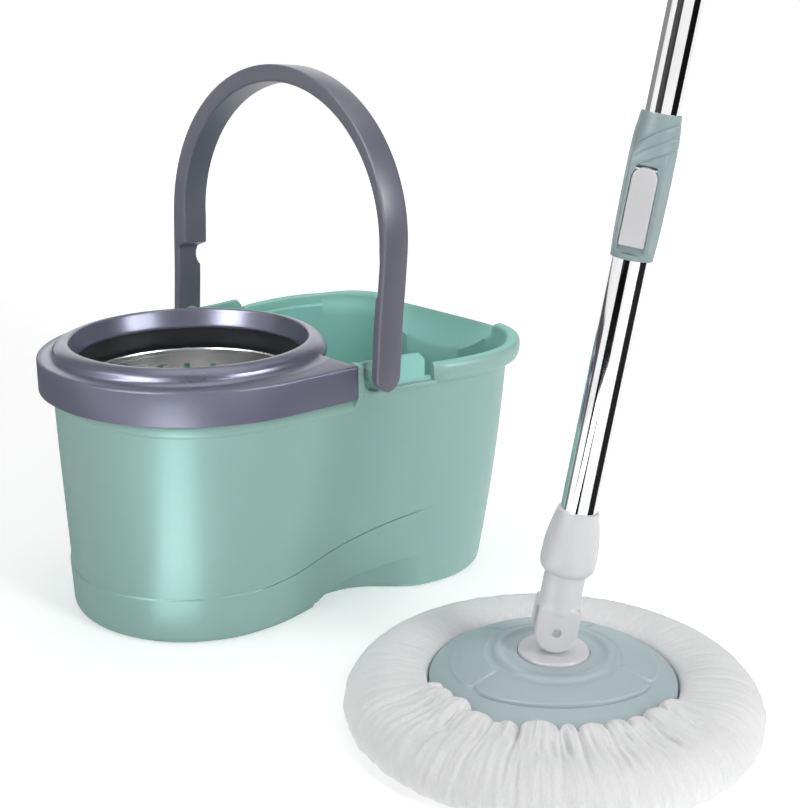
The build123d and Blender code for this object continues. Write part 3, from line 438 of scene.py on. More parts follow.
def build_tub():
    # columns: even steps along the rim, plus pairs of columns at the sharp ends of ears and rim
    fine = np.linspace(0, 13, 4001)
    pt, _ = LOOPS[2].at(fine)
    arc = np.concatenate([[0], np.cumsum(np.linalg.norm(np.diff(pt, axis=0), axis=1))])
    stops = []
    for x in (76.4, 82.6, 151.0, 158.0):
        k = np.argmax((pt[:, 0] > x) & (fine > 2))
        stops.append(arc[k])
    s = np.linspace(0, arc[-1], 150)
    s = np.array([v for v in s if all(abs(v - b) > 2.2 for b in stops)])
    extra = []
    for b in stops:
        extra += [b - 0.9, b - 0.22, b + 0.22, b + 0.9]
    k = np.argmax((pt[:, 0] > 82.6) & (fine > 2))
    extra += list(arc[k] + np.array([1.8, 2.8, 4.0, 5.4, 7.2, 9.4, 12.0, 15.0]))
    s = np.array(sorted(list(s) + extra))
    qs = np.interp(s, arc, fine)
    qs[0], qs[-1] = 0.0, 13.0
    top, _ = LOOPS[2].at(qs)
    cols = []
    for q, (x, y) in zip(qs, top):
        prof = rim_profile(float(x), float(y))
        xx = float(x)
        z1, z2 = float(soft_table(xx, CREASE_X, CREASE_Z)), float(soft_table(xx, FOLD_X, FOLD_Z))
        rb = 7.5 - 5.7 * math.exp(-((xx - 72) / 30.0) ** 2)
        z2 = max(z2, rb + 0.9)
        waist = -2.5 * math.exp(-((xx - 60) / 18.0) ** 2)
        flare = 6.5 * math.exp(-((xx - 148) / 42.0) ** 2)
        under = 12.0 * float(smooth(40, 58, xx)) * (1 - float(smooth(78, 172, xx)))
        ledge = 1.3 * (1 - float(smooth(-62, -30, xx)))
        lip = 0.5 * float(smooth(-44, 0, xx)) * (1 - float(smooth(90, 178, xx)))
        cut = 2.6 * float(smooth(-52, 10, xx)) * (1 - float(smooth(128, 180, xx)))

        def off(z):
            v = flare * max(0.0, 1 - z / 62.0) ** 2
            if z < z2:
                v += waist * max(0.0, 1 - z / 26.0) - under
            # to the left the foot stands out under a bevelled ledge
            v += ledge * min(1.0, max(0.0, (z1 + 1.3 - z) / 1.3))
            # to the right the wall stands out over a fine groove
            if z <= z1:
                v -= lip * 0.5 * math.exp(-(z1 - z) / 16.0)
            else:
                v += lip * 0.5 * math.exp(-(z - z1) / 22.0)
            return v - cut * max(0.0, 1 - abs(z - z1) / 0.7)

        zt = prof[0][1]
        rows = [(-(rb + 8.0), 2.4), (-(rb + 6.6), 0.5), (-(rb + 5.6), 0.0), (-rb, 0.0)]
        for a in (18, 36, 54, 72, 90):
            a = math.radians(a)
            rows.append((-rb + rb * math.sin(a), rb - rb * math.cos(a)))
        rows += [(0, rb + (z2 - rb) * 0.5), (0, z2 - 0.45), (0, z2 + 0.45)]
        rows += [(0, z2 + (z1 - z2) * k) for k in (0.12, 0.28, 0.46, 0.64, 0.80, 0.90)]
        rows += [(0, z1 - 1.4), (0, z1 - 0.7), (0, z1), (0, z1 + 0.7), (0, z1 + 1.3), (0, z1 + 2.0)]
        rows += [(0, z1 + (zt - z1) * k) for k in (0.03, 0.08, 0.15, 0.24, 0.34, 0.45, 0.56, 0.67, 0.78, 0.88, 0.95)]
        rows = [(n + off(z), z) for n, z in rows]
        inner = [(-3, prof[-1][1] + (16 - prof[-1][1]) * k) for k in (0.2, 0.4, 0.6, 0.8, 1.0)]
        inner = [(n, z) for n, z in inner] + [(-3.6, 9.6), (-5.6, 6.2), (-9.0, 4.6), (-13.5, 4.1)]
        inner = [(n + min(0.0, off(z)) if z < 40 else n, z) for n, z in inner]
        prof_in = prof[:max(range(len(prof)), key=lambda k: prof[k][1]) + 1]
        cols.append(rows + list(prof) + inner)
    cols = np.array(cols)                      # half columns x rows x 2
    nc, nr, _ = cols.shape
    P = np.zeros((nc, nr, 3))
    for r in range(nr):
        P[:, r] = wall(qs, cols[:, r, 0], cols[:, r, 1])
    P[0, :, 1] = 0
    P[-1, :, 1] = 0
    back = P[-2:0:-1] * np.array([1, -1, 1])
    full = np.concatenate([P, back])           # closed ring of columns
    nf = len(full)
    verts = [tuple(v) for v in full.transpose(1, 0, 2).reshape(-1, 3)]
    faces = grid_faces(nr, nf)
    # underside and inner floor, drawn in to the middle line
    for row, z in ((0, 2.4), (nr - 1, 4.0)):
        steps = []
        edge = full[:, row]
        mid = np.column_stack([np.clip(edge[:, 0] * 0.86, -70, 205), np.zeros(nf), np.full(nf, z)])
        base = row * nf
        for k in (0.12, 0.4, 0.75, 1.0):
            ring = edge + (mid - edge) * k
            ring[:, 2] = edge[:, 2] + (z - edge[:, 2]) * min(1.0, k * 4)
            start = len(verts)
            verts += [tuple(v) for v in ring]
            for c in range(nf):
                c2 = (c + 1) % nf
                faces.append((base + c, base + c2, start + c2, start + c))
            base = start
    # bosses that space the bail off the wall
    for side in (1, -1):
        n, start = 40, len(verts)
        prof = [(0.0, 131.0), (9.0, 131.0), (9.0, 148.2), (8.4, 149.2), (5.3, 149.3), (5.05, 148.6), (5.05, 136.0), (0.0, 136.0)]
        for r, yy in prof:
            for k in range(n):
                a = 2 * math.pi * k / n
                verts.append((96 + r * math.cos(a), side * yy, 222 + r * math.sin(a)))
        faces += grid_faces(len(prof), n, base=start)
    o = mesh_piece("tub_body", verts, faces, M["tub"], "bucket", sharp=38, replaces=("tub",))
    first = 9 + 3 + 6 + 6 + 11 + len(prof_in)
    inside = np.zeros(len(verts))
    inside[first * nf:nr * nf] = 1.0
    inside[nr * nf + 4 * nf:nr * nf + 8 * nf] = 1.0
    tree = kdtree.KDTree(len(verts))
    for i, v in enumerate(verts):
        tree.insert(Vector(v) * MM, i)
    tree.balance()
    attr = o.data.attributes.new("inside", "FLOAT", "POINT")
    attr.data.foreach_set("value", [inside[tree.find(v.co)[1]] for v in o.data.vertices])
    return o


tub_body = build_tub()

# ------------------------------------------------------------ the wringer cover
def cover_outline(th):
    """Edge of the cover seen from the ring's axis at a bearing: point and outward normal."""
    c, sn = math.cos(th), math.sin(th)
    best = None
    # straight end, sides, nose and the two round corners
    if c > 1e-9:
        d = 76.0 / c
        if abs(d * sn) <= 142.0 + 1e-6:
            best = (d, (1.0, 0.0), "end")
    if best is None:
        d = 142.0 / abs(sn) if abs(sn) > 1e-9 else 1e9
        if d * c >= 8.0:
            best = (d, (0.0, math.copysign(1.0, sn)), "side")
    if best is None:
        d = -130.0 / c if c < -1e-9 else 1e9
        if abs(d * sn) <= 4.0:
            best = (d, (-1.0, 0.0), "nose")
    if best is None:
        cy = math.copysign(4.0, sn)
        b = c * 8.0 + sn * cy
        d = b + math.sqrt(b * b - (8.0 ** 2 + 4.0 ** 2) + 138.0 ** 2)
        best = (d, ((d * c - 8.0) / 138.0, (d * sn - cy) / 138.0), "corner")
    return best


def build_cover():
    t0 = math.acos(76.0 / 121.4)
    t1 = math.atan2(142.0, 76.0)
    half = list(np.linspace(t0, t1 - 0.0012, 10)) + list(t1 + np.array([0.0008, 0.004, 0.012, 0.03]))
    half += list(np.linspace(t1 + 0.05, math.pi, 120))
    ths = half + [2 * math.pi - v for v in half[-2::-1]]
    cols = []
    for th in ths:
        d, n, kind = cover_outline(th)
        c, sn = math.cos(th), math.sin(th)
        w = max(0.5, d - 118.4 - 2.6)
        col = []
        for dr, z in ((0.0, 231.0), (0.0, 238.6), (0.7, 236.9), (1.9, 235.2), (3.6, 233.8), (5.8, 232.9), (8.4, 232.4), (12.0, 232.1)):
            r = 118.4 + min(dr, w * dr / 12.5)
            col.append((r * c, r * sn, z))
        ex, ey = d * c, d * sn

        def edge(inset, z):
            return (ex - n[0] * inset, ey - n[1] * inset, z)

        if kind == "end":
            low = 229.2
            col += [edge(1.4, 232.0), edge(0.7, 231.8), edge(0.15, 231.3), edge(0, 230.6), edge(0, 230.2), edge(0, 229.9), edge(0.1, 229.5), edge(0.5, 229.3), edge(1.0, 229.2), edge(1.6, 229.2), edge(2.4, 229.2), edge(3.0, 229.2)]
        else:
            col += [edge(2.4, 232.0), edge(1.2, 231.6), edge(0.35, 230.8), edge(0, 229.6), edge(0, 220), edge(0, 203.4), edge(0.25, 202.5), edge(0.9, 202.1), edge(2.0, 202.1), edge(2.7, 202.5), edge(3.0, 203.2), edge(3.0, 228.6)]
        r = 118.0
        col += [((ex + r * c) / 2 if d > 124 else r * c - 0.2 * c, (ey + r * sn) / 2 if d > 124 else r * sn - 0.2 * sn, 229.2), (117.9 * c, 117.9 * sn, 229.2)]
        cols.append(col)
    cols = np.array(cols)
    nc, nr, _ = cols.shape
    verts = list(cols.transpose(1, 0, 2).reshape(-1, 3))
    faces = grid_faces(nr, nc, close_cols=False, close_rows=True)
    faces.append(tuple(r * nc for r in range(nr)))
    faces.append(tuple(r * nc + nc - 1 for r in range(nr))[::-1])
    # funnel ring: hollow crest, outer slope, inner funnel wall
    prof = [
        (121.0, 229.2), (121.0, 231.8), (120.7, 233.6), (120.0, 235.4), (118.8, 237.4), (117.4, 239.2), (115.6, 240.9), (113.4, 242.4), (111.0, 243.5), (108.8, 244.1), (107.0, 244.2), (105.7, 243.8),
        (104.9, 242.9), (104.5, 241.6), (103.2, 238.2), (101.6, 234.2), (100.2, 230.6), (99.7, 229.2), (99.5, 228.2), (99.6, 227.0), (100.2, 226.5), (102.4, 226.4), (104.8, 226.6), (104.8, 229.5), (108.0, 239.6), (112.2, 238.4), (117.2, 229.2),
    ]
    n, start = 256, len(verts)
    for r, z in prof:
        for k in range(n):
            a = 2 * math.pi * k / n
            verts.append((r * math.cos(a), r * math.sin(a), z))
    faces += grid_faces(len(prof), n, close_rows=True, base=start)
    o = mesh_piece("cover_shell", verts, faces, M["cover"], "bucket", sharp=38, replaces=("wringer_cover",))
    # splash skirt below the funnel, coloured near-black as painted shade where it lies in the shade over the basket
    prof = [(102.4, 226.3), (102.4, 206.4), (102.7, 206.0), (104.4, 206.0), (104.8, 206.4), (104.8, 226.3)]
    verts = []
    for r, z in prof:
        for k in range(n):
            a = 2 * math.pi * k / n
            verts.append((r * math.cos(a), r * math.sin(a), z))
    mesh_piece("splash_skirt", verts, grid_faces(len(prof), n, close_rows=True), M["dark"], "bucket", sharp=38)
    return o


cover_shell = build_cover()


def soften(node, name, mat, body, voxel, rounds):
    """A copy of a CAD node with its edges really rounded: fine remesh, then smoothing."""
    src = NODES[node]
    me = src.data.copy()
    me.transform(src.matrix_world)
    o = bpy.data.objects.new(name, me)
    bpy.context.scene.collection.objects.link(o)
    rm = o.modifiers.new("remesh", "REMESH")
    rm.mode = "VOXEL"
    rm.voxel_size = voxel
    sm = o.modifiers.new("smooth", "SMOOTH")
    sm.factor, sm.iterations = 0.5, rounds
    bpy.context.view_layer.update()
    done = bpy.data.meshes.new_from_object(o.evaluated_get(bpy.context.evaluated_depsgraph_get()))
    o.modifiers.clear()
    o.data = done
    bpy.data.meshes.remove(me)
    done.materials.clear()
    done.materials.append(mat)
    done.polygons.foreach_set("use_smooth", [True] * len(done.polygons))
    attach(o, body)
    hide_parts(node)
    return o


neck_soft = soften("neck_yoke", "neck_soft", M["white"], "pole_lower", 0.0008, 24)
hub_soft = soften("swivel_hub", "hub_soft", M["white"], "hub", 0.0008, 8)
lever_soft = soften("lock_lever", "lever_soft", M["lever"], "lever", 0.0006, 5)


def carve(o, points, loops, angle):
    """Takes a closed cutter, in millimetres, out of a piece for good."""
    cme = bpy.data.meshes.new("cutter")
    cme.from_pydata([tuple(v) for v in np.asarray(points, float) * MM], [], loops)
    bm = bmesh.new()
    bm.from_mesh(cme)
    bmesh.ops.recalc_face_normals(bm, faces=bm.faces)
    bm.to_mesh(cme)
    bm.free()
    cutter = bpy.data.objects.new("cutter", cme)
    bpy.context.scene.collection.objects.link(cutter)
    bpy.context.view_layer.update()
    mod = o.modifiers.new("cut", "BOOLEAN")
    mod.operation, mod.object, mod.solver = "DIFFERENCE", cutter, "EXACT"
    done = bpy.data.meshes.new_from_object(o.evaluated_get(bpy.context.evaluated_depsgraph_get()))
    o.modifiers.clear()
    old = o.data
    o.data = done
    bpy.data.meshes.remove(old)
    bpy.data.objects.remove(cutter)
    bpy.data.meshes.remove(cme)
    o.data.set_sharp_from_angle(angle=math.radians(angle))


POLE_H = np.array([75.9, -374.7, 76.5])
POLE_P = np.array([0.1180626, -0.1026302, 0.9876883])
LEVER_N = np.array([-0.854296, -0.517534, 0.048341])
LEVER_T = np.cross(POLE_P, LEVER_N)


def on_pole(sv, n, t):
    """Points at height sv along the pole, n towards the lever and t to its right."""
    sv, n, t = (np.asarray(v, float)[..., None] for v in (sv, n, t))
    return POLE_H + (sv - 10.5) * POLE_P + n * LEVER_N + t * LEVER_T


def build_collar():
    ks = [296.9, 300, 306, 318, 335, 355, 372, 384, 391, 395.5, 397.8]
    kr = [14.7, 15.25, 15.75, 16.05, 16.3, 16.4, 16.3, 15.95, 15.3, 14.3, 13.1]
    nc = 176
    ph = np.linspace(0, 2 * math.pi, nc, endpoint=False)
    verts = []
    sv = np.linspace(ks[0], ks[-1], 250)
    for v in sv:
        r = float(soft_table(v, ks, kr))
        n, t = r * np.cos(ph), r * np.sin(ph)
        w = (1 - smooth(11.3, 15.3, np.abs(t))) * float(smooth(299, 309, v)) * (1 - float(smooth(363, 377, v)))
        n = np.where(n > 0, n + w * np.maximum(0, 17.7 - n), n)
        # three slanted grip grooves above the lever
        depth = np.zeros(nc)
        for s0 in (366.4, 375.2, 384.2):
            sg = s0 + 0.60 * t - 0.004 * t * t
            depth = np.maximum(depth, 0.85 * np.exp(-((v - sg) / 0.62) ** 2))
        depth = depth * smooth(-11.0, -6.5, t) * smooth(-7, 1, n)
        k = 1 - depth / np.hypot(n, t)
        verts.append(on_pole(np.full(nc, v), n * k, t * k))
    for v, r in ((397.8, 12.66), (338.0, 12.66), (338.0, 13.74), (296.9, 13.74)):
        verts.append(on_pole(np.full(nc, v), r * np.cos(ph), r * np.sin(ph)))
    faces = grid_faces(len(verts), nc, close_rows=True)
    o = mesh_piece("collar_shell", np.concatenate(verts), faces, M["sage"], "pole_lower", sharp=40, replaces=("lock_collar",))
    # window of the lever, with the finger recess below it
    arc = [(9.4 * math.cos(a), 353 + 9.4 * math.sin(a)) for a in np.radians(np.linspace(0, 36, 8))]
    half = [(9.4, 300.9)] + arc + [(7.5, 361.4), (6.9, 362.3), (6.0, 362.6)]
    loop = half + [(-t, v) for t, v in half[::-1]]
    m = len(loop)
    pts = np.concatenate([on_pole([v for _, v in loop], np.full(m, d), [t for t, _ in loop]) for d in (13.95, 26.0)])
    caps = [tuple(range(m))[::-1], tuple(range(m, 2 * m))]
    carve(o, pts, [(k, (k + 1) % m, m + (k + 1) % m, m + k) for k in range(m)] + caps, 40)
    return o


collar_shell = build_collar()

# ------------------------------------------------------------------- the bail
PIVOT = np.array([96.0, 0.0, 222.0])
LEAN = math.radians(3.5)
B_UP = np.array([math.sin(LEAN), 0.0, math.cos(LEAN)])
B_WIDE = np.array([math.cos(LEAN), 0.0, -math.sin(LEAN)])
B_Y = np.array([0.0, 1.0, 0.0])
ARCH_Y, ARCH_H, KNEE_H = 161.6, 143.5, 108.0


def bail_stations():
    """Stations from the front leg end over the arch to the rear one: outer point, outward direction, depth, limits of the width."""
    out = []

    def leg(side, h):
        t = min(1.0, max(0.0, (h - 30.0) / (KNEE_H - 30.0)))
        y = 159.5 + 2.1 * t * t * (3 - 2 * t)
        if side < 0:
            d = 9.5 if h < 66 else (9.5 + (7.4 - 9.5) * min(1.0, (h - 66) / 4.0))
        else:
            d = 9.5 if h < 69 else (9.5 + (20.4 - 9.5) * min(1.0, (h - 69) / 5.0))
        lo, hi = -13.0, 13.0
        if h < 0:
            hi = math.sqrt(max(0.0, 169.0 - h * h))
            lo = -hi
        if side > 0 and abs(h - 61.0) < 15.0:
            hi = min(hi, 23.0 - math.sqrt(225.0 - (h - 61.0) ** 2))
        out.append(((side * y, h), (side * 1.0, 0.0), d, lo, hi))

    ends = [-13 * math.cos(math.radians(a)) for a in (4, 12, 22, 32, 42, 52, 62, 72, 82)]
    front = ends + [0, 6, 14, 24, 34, 44, 54, 62, 65.6, 66.2, 68, 70, 71, 78, 88, 98]
    for h in front:
        leg(-1, h)
    n = 90
    for k in range(n + 1):
        u = math.pi * k / n
        y, h = -ARCH_Y * math.cos(u), KNEE_H + ARCH_H * math.sin(u)
        m = math.hypot(ARCH_H * math.cos(u), ARCH_Y * math.sin(u))
        f = (k + 8.0) / (n + 16.0)
        # even growth of the depth, with the grip a little fuller over the crown
        d = 7.4 + 13.0 * f + 1.2 * math.sin(math.pi * f)
        out.append(((y, h), (-ARCH_H * math.cos(u) / m, ARCH_Y * math.sin(u) / m), d, -13.0, 13.0))
    rear = [98, 88, 80, 76, 74, 73, 72, 71, 70, 69.2, 68, 66, 64, 61, 58, 55, 53, 51.4, 50.4, 49.6, 48.6, 46, 40, 30, 20, 10, 0] + ends[::-1]
    for h in rear:
        leg(1, h)
    return out


def build_bail():
    st = bail_stations()
    # each section is a rounded rectangle
    verts, sec = [], 20
    for (y, h), (ny, nh), d, lo, hi in st:
        w = hi - lo
        r = min(1.9, 0.45 * d, 0.45 * w)
        # walk the corners: outer right, outer left, inner left, inner right
        pts = []
        for cx, cd, a0 in ((hi - r, r, 0), (lo + r, r, 90), (lo + r, d - r, 180), (hi - r, d - r, 270)):
            for k in range(5):
                a = math.radians(a0 + 22.5 * k)
                pts.append((cx + r * math.cos(a), cd - r * math.sin(a)))
        for wx, dd in pts:
            P = PIVOT + B_Y * (y - ny * dd) + B_UP * (h - nh * dd) + B_WIDE * wx
            verts.append(P)
    n = len(st)
    faces = grid_faces(n, sec)
    faces.append(tuple(range(sec))[::-1])
    faces.append(tuple((n - 1) * sec + k for k in range(sec)))
    o = mesh_piece("bail_strip", verts, faces, M["bail"], "bail", sharp=40, replaces=("bail_handle",))
    # blind bores for the pivots
    cut_v, cut_f = [], []
    for side in (1, -1):
        start, m = len(cut_v), 40
        for yy in (146.0, 155.0):
            for k in range(m):
                a = 2 * math.pi * k / m
                cut_v.append(((96 + 5.07 * math.cos(a)) * MM, side * yy * MM, (222 + 5.07 * math.sin(a)) * MM))
        for k in range(m):
            k2 = (k + 1) % m
            cut_f.append((start + k, start + k2, start + m + k2, start + m + k))
        cut_f.append(tuple(start + k for k in range(m))[::-1])
        cut_f.append(tuple(start + m + k for k in range(m)))
    cme = bpy.data.meshes.new("bore_cut")
    cme.from_pydata(cut_v, [], cut_f)
    bm = bmesh.new()
    bm.from_mesh(cme)
    bmesh.ops.recalc_face_normals(bm, faces=bm.faces)
    bm.to_mesh(cme)
    bm.free()
    cutter = bpy.data.objects.new("bore_cut", cme)
    bpy.context.scene.collection.objects.link(cutter)
    bpy.context.view_layer.update()
    mod = o.modifiers.new("bores", "BOOLEAN")
    mod.operation, mod.object, mod.solver = "DIFFERENCE", cutter, "EXACT"
    # the boolean is applied, so the cutter can go
    dg = bpy.context.evaluated_depsgraph_get()
    done = bpy.data.meshes.new_from_object(o.evaluated_get(dg))
    o.modifiers.clear()
    old = o.data
    o.data = done
    bpy.data.meshes.remove(old)
    bpy.data.objects.remove(cutter)
    bpy.data.meshes.remove(cme)
    o.data.set_sharp_from_angle(angle=math.radians(40))
    return o


bail_strip = build_bail()

# ------------------------------------------------------------------- the head
HX, HY = 75.9, -374.7
FACE = math.atan2(-0.7547096, -0.656059)      # bearing of the near side of the head


def disc_top(r):
    """Height of the plain disc."""
    rr = [28.0, 28.8, 43.0, 45.4, 47.5, 51.0, 66.0, 81.0, 87.0, 91.2, 93.6, 95.0]
    zz = [56.0, 56.6, 56.2, 55.0, 53.4, 52.6, 49.6, 44.6, 41.4, 38.6, 36.4, 33.0]
    return np.interp(r, rr, zz)


def build_disc():
    nt = 720
    th = np.linspace(0, 2 * math.pi, nt, endpoint=False)
    rs = np.concatenate([
        [28.0, 28.3, 29.0, 31, 34, 37, 40, 42, 43.5, 44.5, 45.5, 46.5, 47.5, 48.5, 49.4, 50.2, 51.0, 51.6, 52.2, 53, 54.5],
        np.arange(56, 66.1, 1.6), np.arange(66.4, 82.3, 0.36), [82.8, 84, 85.6, 87.2, 88.8, 90.2, 91.4, 92.5, 93.4, 94.1, 94.6, 94.9, 95.0],
    ])
    R, T = np.meshgrid(rs, th, indexing="ij")
    # plain dome with a rounded ring about the hub
    ring = 2.6 * np.exp(-((R - 43.2) / 3.6) ** 4)
    dome = np.interp(R, [28, 40, 50, 60, 70, 80, 86, 90, 93, 94.4, 95], [54.0, 53.9, 53.0, 51.0, 48.2, 44.4, 41.5, 39.0, 36.6, 34.9, 33.0])
    Z = dome + ring + 1.3 * np.exp(-((R - 31.0) / 5.0) ** 4)
    # four raised pads between radial seams
    rel = (T - FACE + math.pi) % (2 * math.pi) - math.pi
    seams = [math.radians(v) for v in (-57, 64, 146, -138)]
    gap = np.min([np.abs((rel - q + math.pi) % (2 * math.pi) - math.pi) for q in seams], axis=0) * R
    side = smooth(0.7, 2.0, gap)
    corner = 6.0 * np.exp(-gap / 5.0)
    inner = smooth(51.0 + 0.4 * corner, 52.8 + 0.4 * corner, R)
    near = np.clip(np.cos(rel), 0, 1) ** 2
    # the near pad is cut straighter, with a fine groove at its foot
    q = np.clip(np.abs(rel - math.radians(3.5)) / math.radians(60.5), 0, 1)
    front = 1 - smooth(0.97, 1.0, q)
    edge = 79.4 - corner - front * 7.6 * (1 - q * q)
    outer = 1 - smooth(edge - 0.9, edge + 0.9, R)
    pad = (0.9 + 0.7 * near) * side * inner * outer
    Z = Z + pad - 0.35 * (1 - side) * smooth(50, 53, R) * (1 - smooth(76, 79, R))
    Z = Z - 2.5 * front * (1 - smooth(0.8, 0.97, q)) * np.exp(-((R - edge - 0.8) / 0.55) ** 2)
    X, Y = HX + R * np.cos(T), HY + R * np.sin(T)
    rows = [np.stack([X[i], Y[i], Z[i]], axis=1) for i in range(len(rs))]
    under = [(95.0, 30.6), (92.4, 30.6), (91.6, 33.0), (88.0, 36.4), (79.0, 40.4), (60.0, 46.4), (46.0, 48.4), (36.0, 48.4), (36.0, 25.0), (32.5, 25.0), (32.5, 42.0), (9.06, 42.0), (9.06, 48.0), (28.0, 48.0)]
    for r, z in under:
        rows.append(np.stack([HX + r * np.cos(th), HY + r * np.sin(th), np.full(nt, z)], axis=1))
    verts = np.concatenate(rows)
    faces = grid_faces(len(rows), nt, close_rows=True)
    return mesh_piece("disc_shell", verts, faces, M["disc"], "head", sharp=50, replaces=("mop_disc",))


disc_shell = build_disc()


def waves(th, r, seed, count, low, high, bend=0.0):
    """Sum of angular waves with random phase, slowly turned with the radius."""
    g = np.random.default_rng(seed)
    v = np.zeros(np.broadcast(th, r).shape)
    for _ in range(count):
        k = int(g.integers(low, high))
        ph = g.uniform(0, 2 * math.pi)
        tw = g.uniform(-1, 1) * bend
        v = v + np.sin(k * th + ph + tw * r * 0.02 * k / 10.0) * g.uniform(0.5, 1.0)
    return v / math.sqrt(count)


def build_fibres():
    nt = 900
    th = np.linspace(0, 2 * math.pi, nt, endpoint=False)
    rel = (th - FACE + math.pi) % (2 * math.pi) - math.pi
    w = smooth(math.radians(-84), math.radians(-66), rel) * (1 - smooth(math.radians(50), math.radians(68), rel))
    # tufts: cells of uneven width, lying over the near rim of the disc
    g = np.random.default_rng(11)
    cuts = np.cumsum(g.uniform(0.55, 1.6, 34))
    cuts = cuts / cuts[-1] * 2 * math.pi
    cell = np.searchsorted(cuts, th)
    lo = np.concatenate([[0], cuts])[cell]
    hi = cuts[np.minimum(cell, len(cuts) - 1)]
    f = (th - lo) / (hi - lo)
    tuft = np.sqrt(np.clip(1 - (2 * f - 1) ** 2, 0, 1))          # round front of each tuft
    reach = g.uniform(-1.0, 1.0, len(cuts) + 1)[cell]
    lift = g.uniform(0.0, 1.0, len(cuts) + 1)[cell]
    r0 = 96.0 - (1.0 + 5.5 * tuft + 2.2 * reach)
    z0 = disc_top(r0) + 0.4
    front = [(r0, z0), (r0 + 0.4, z0 + 2.0 + 1.0 * tuft), (r0 + 2.4, z0 + 3.2 + 1.6 * tuft + 1.4 * lift), (r0 + 6.0, 43.4 + 2.4 * tuft + 2.4 * lift), (r0 + 11.0, 43.6 + 2.0 * tuft + 2.0 * lift), (108.0 + 0 * r0, 42.6 + 1.2 * tuft + 1.4 * lift), (117.0 + 0 * r0, 41.6 + 0.6 * lift)]
    plain = [(96.2, 31.0), (96.4, 33.0), (97.2, 34.6), (99.5, 36.2), (103.0, 37.6), (109.0, 39.0), (117.0, 40.0)]
    shared = [(124.0, 40.4), (131.0, 40.2), (138.0, 38.8), (144.0, 36.6), (149.5, 33.4), (154.0, 29.4), (157.6, 24.6), (159.9, 19.2), (160.6, 14.0), (159.8, 9.0), (157.2, 5.0), (153.0, 2.4), (148.0, 1.2)]
    prof = []
    for (fr, fz), (pr, pz) in zip(front, plain):
        prof.append((w * fr + (1 - w) * pr, w * fz + (1 - w) * pz))
    for r, z in shared:
        prof.append((np.full(nt, r), np.full(nt, z)))
    # finer steps between the stations
    R0 = np.array([p[0] for p in prof])
    Z0 = np.array([p[1] for p in prof])
    base = np.linspace(0, 1, len(prof))
    fine = np.linspace(0, 1, 58)
    R = np.array([np.interp(fine, base, R0[:, k]) for k in range(nt)]).T
    Z = np.array([np.interp(fine, base, Z0[:, k]) for k in range(nt)]).T
    for _ in range(2):
        R[1:-1] = (R[:-2] + 2 * R[1:-1] + R[2:]) / 4
        Z[1:-1] = (Z[:-2] + 2 * Z[1:-1] + Z[2:]) / 4
    T = np.broadcast_to(th, R.shape)
    along = fine[:, None]
    # folds run outwards from the disc: strong at the near tufts, faint at the far side
    big = waves(T, R, 3, 7, 16, 46, 0.8)
    mid = waves(T, R, 5, 9, 60, 130, 0.8)
    thin = waves(T, R, 8, 10, 150, 260, 0.5)
    body = smooth(0.03, 0.25, along) * (1 - smooth(0.80, 0.97, along))
    near = 0.35 + 0.65 * w
    fold = -np.abs(big) ** 1.5
    Z = Z + body * near * (1.3 * fold + 0.55 * mid + 0.22 * thin) + 0.4 * body
    seam = np.exp(-((f * (hi - lo) * 118.0) / 1.6) ** 2) + np.exp(-(((1 - f) * (hi - lo) * 118.0) / 1.6) ** 2)
    Z = Z - body * (1 - smooth(0.35, 0.8, along)) * (0.4 + 1.6 * w) * seam
    # hollows where the strands are pushed together
    gp = np.random.default_rng(29)
    for _ in range(34):
        a0, s0 = gp.uniform(-1.15, 0.95), gp.uniform(0.13, 0.40)
        wa, ws, deep = gp.uniform(0.012, 0.03), gp.uniform(0.03, 0.07), gp.uniform(1.2, 3.2)
        Z = Z - deep * np.exp(-((rel[None, :] - a0 - 0.25 * (along - s0)) / wa) ** 2 - ((along - s0) / ws) ** 2)
    edge = smooth(0.55, 0.8, along) * (1 - smooth(0.93, 1.0, along))
    R = R + edge * (0.8 * waves(T, R * 0, 21, 7, 20, 60) + 0.35 * waves(T, R * 0, 22, 9, 90, 200))
    Z = np.maximum(Z, 0.7)
    X, Y = HX + R * np.cos(T), HY + R * np.sin(T)
    rows = [np.stack([X[i], Y[i], Z[i]], axis=1) for i in range(R.shape[0])]
    for r, z in [(140, 1.0), (100, 1.0), (60, 1.0), (42, 1.0), (40.2, 2.6), (40.0, 12), (40.0, 24), (41, 25.2), (60, 25.4), (94, 25.4), (96, 27)]:
        rows.append(np.stack([HX + r * np.cos(th), HY + r * np.sin(th), np.full(nt, z)], axis=1))
    verts = np.concatenate(rows)
    faces = grid_faces(len(rows), nt, close_rows=True)
    o = mesh_piece("fibre_tufts", verts, faces, M["fibre"], "head", sharp=0, replaces=("fibre_ring",))
    me = o.data
    co = np.zeros(len(me.vertices) * 3)
    me.vertices.foreach_get("co", co)
    co = co.reshape(-1, 3) / MM
    a = np.arctan2(co[:, 1] - HY, co[:, 0] - HX)
    rad = np.hypot(co[:, 1] - HY, co[:, 0] - HX)
    attr = me.attributes.new("strand", "FLOAT_VECTOR", "POINT")
    attr.data.foreach_set("vector", np.stack([np.cos(a) * 24.0, np.sin(a) * 24.0, (rad - co[:, 2]) * 0.03], axis=1).ravel())
    return o


fibre_tufts = build_fibres()

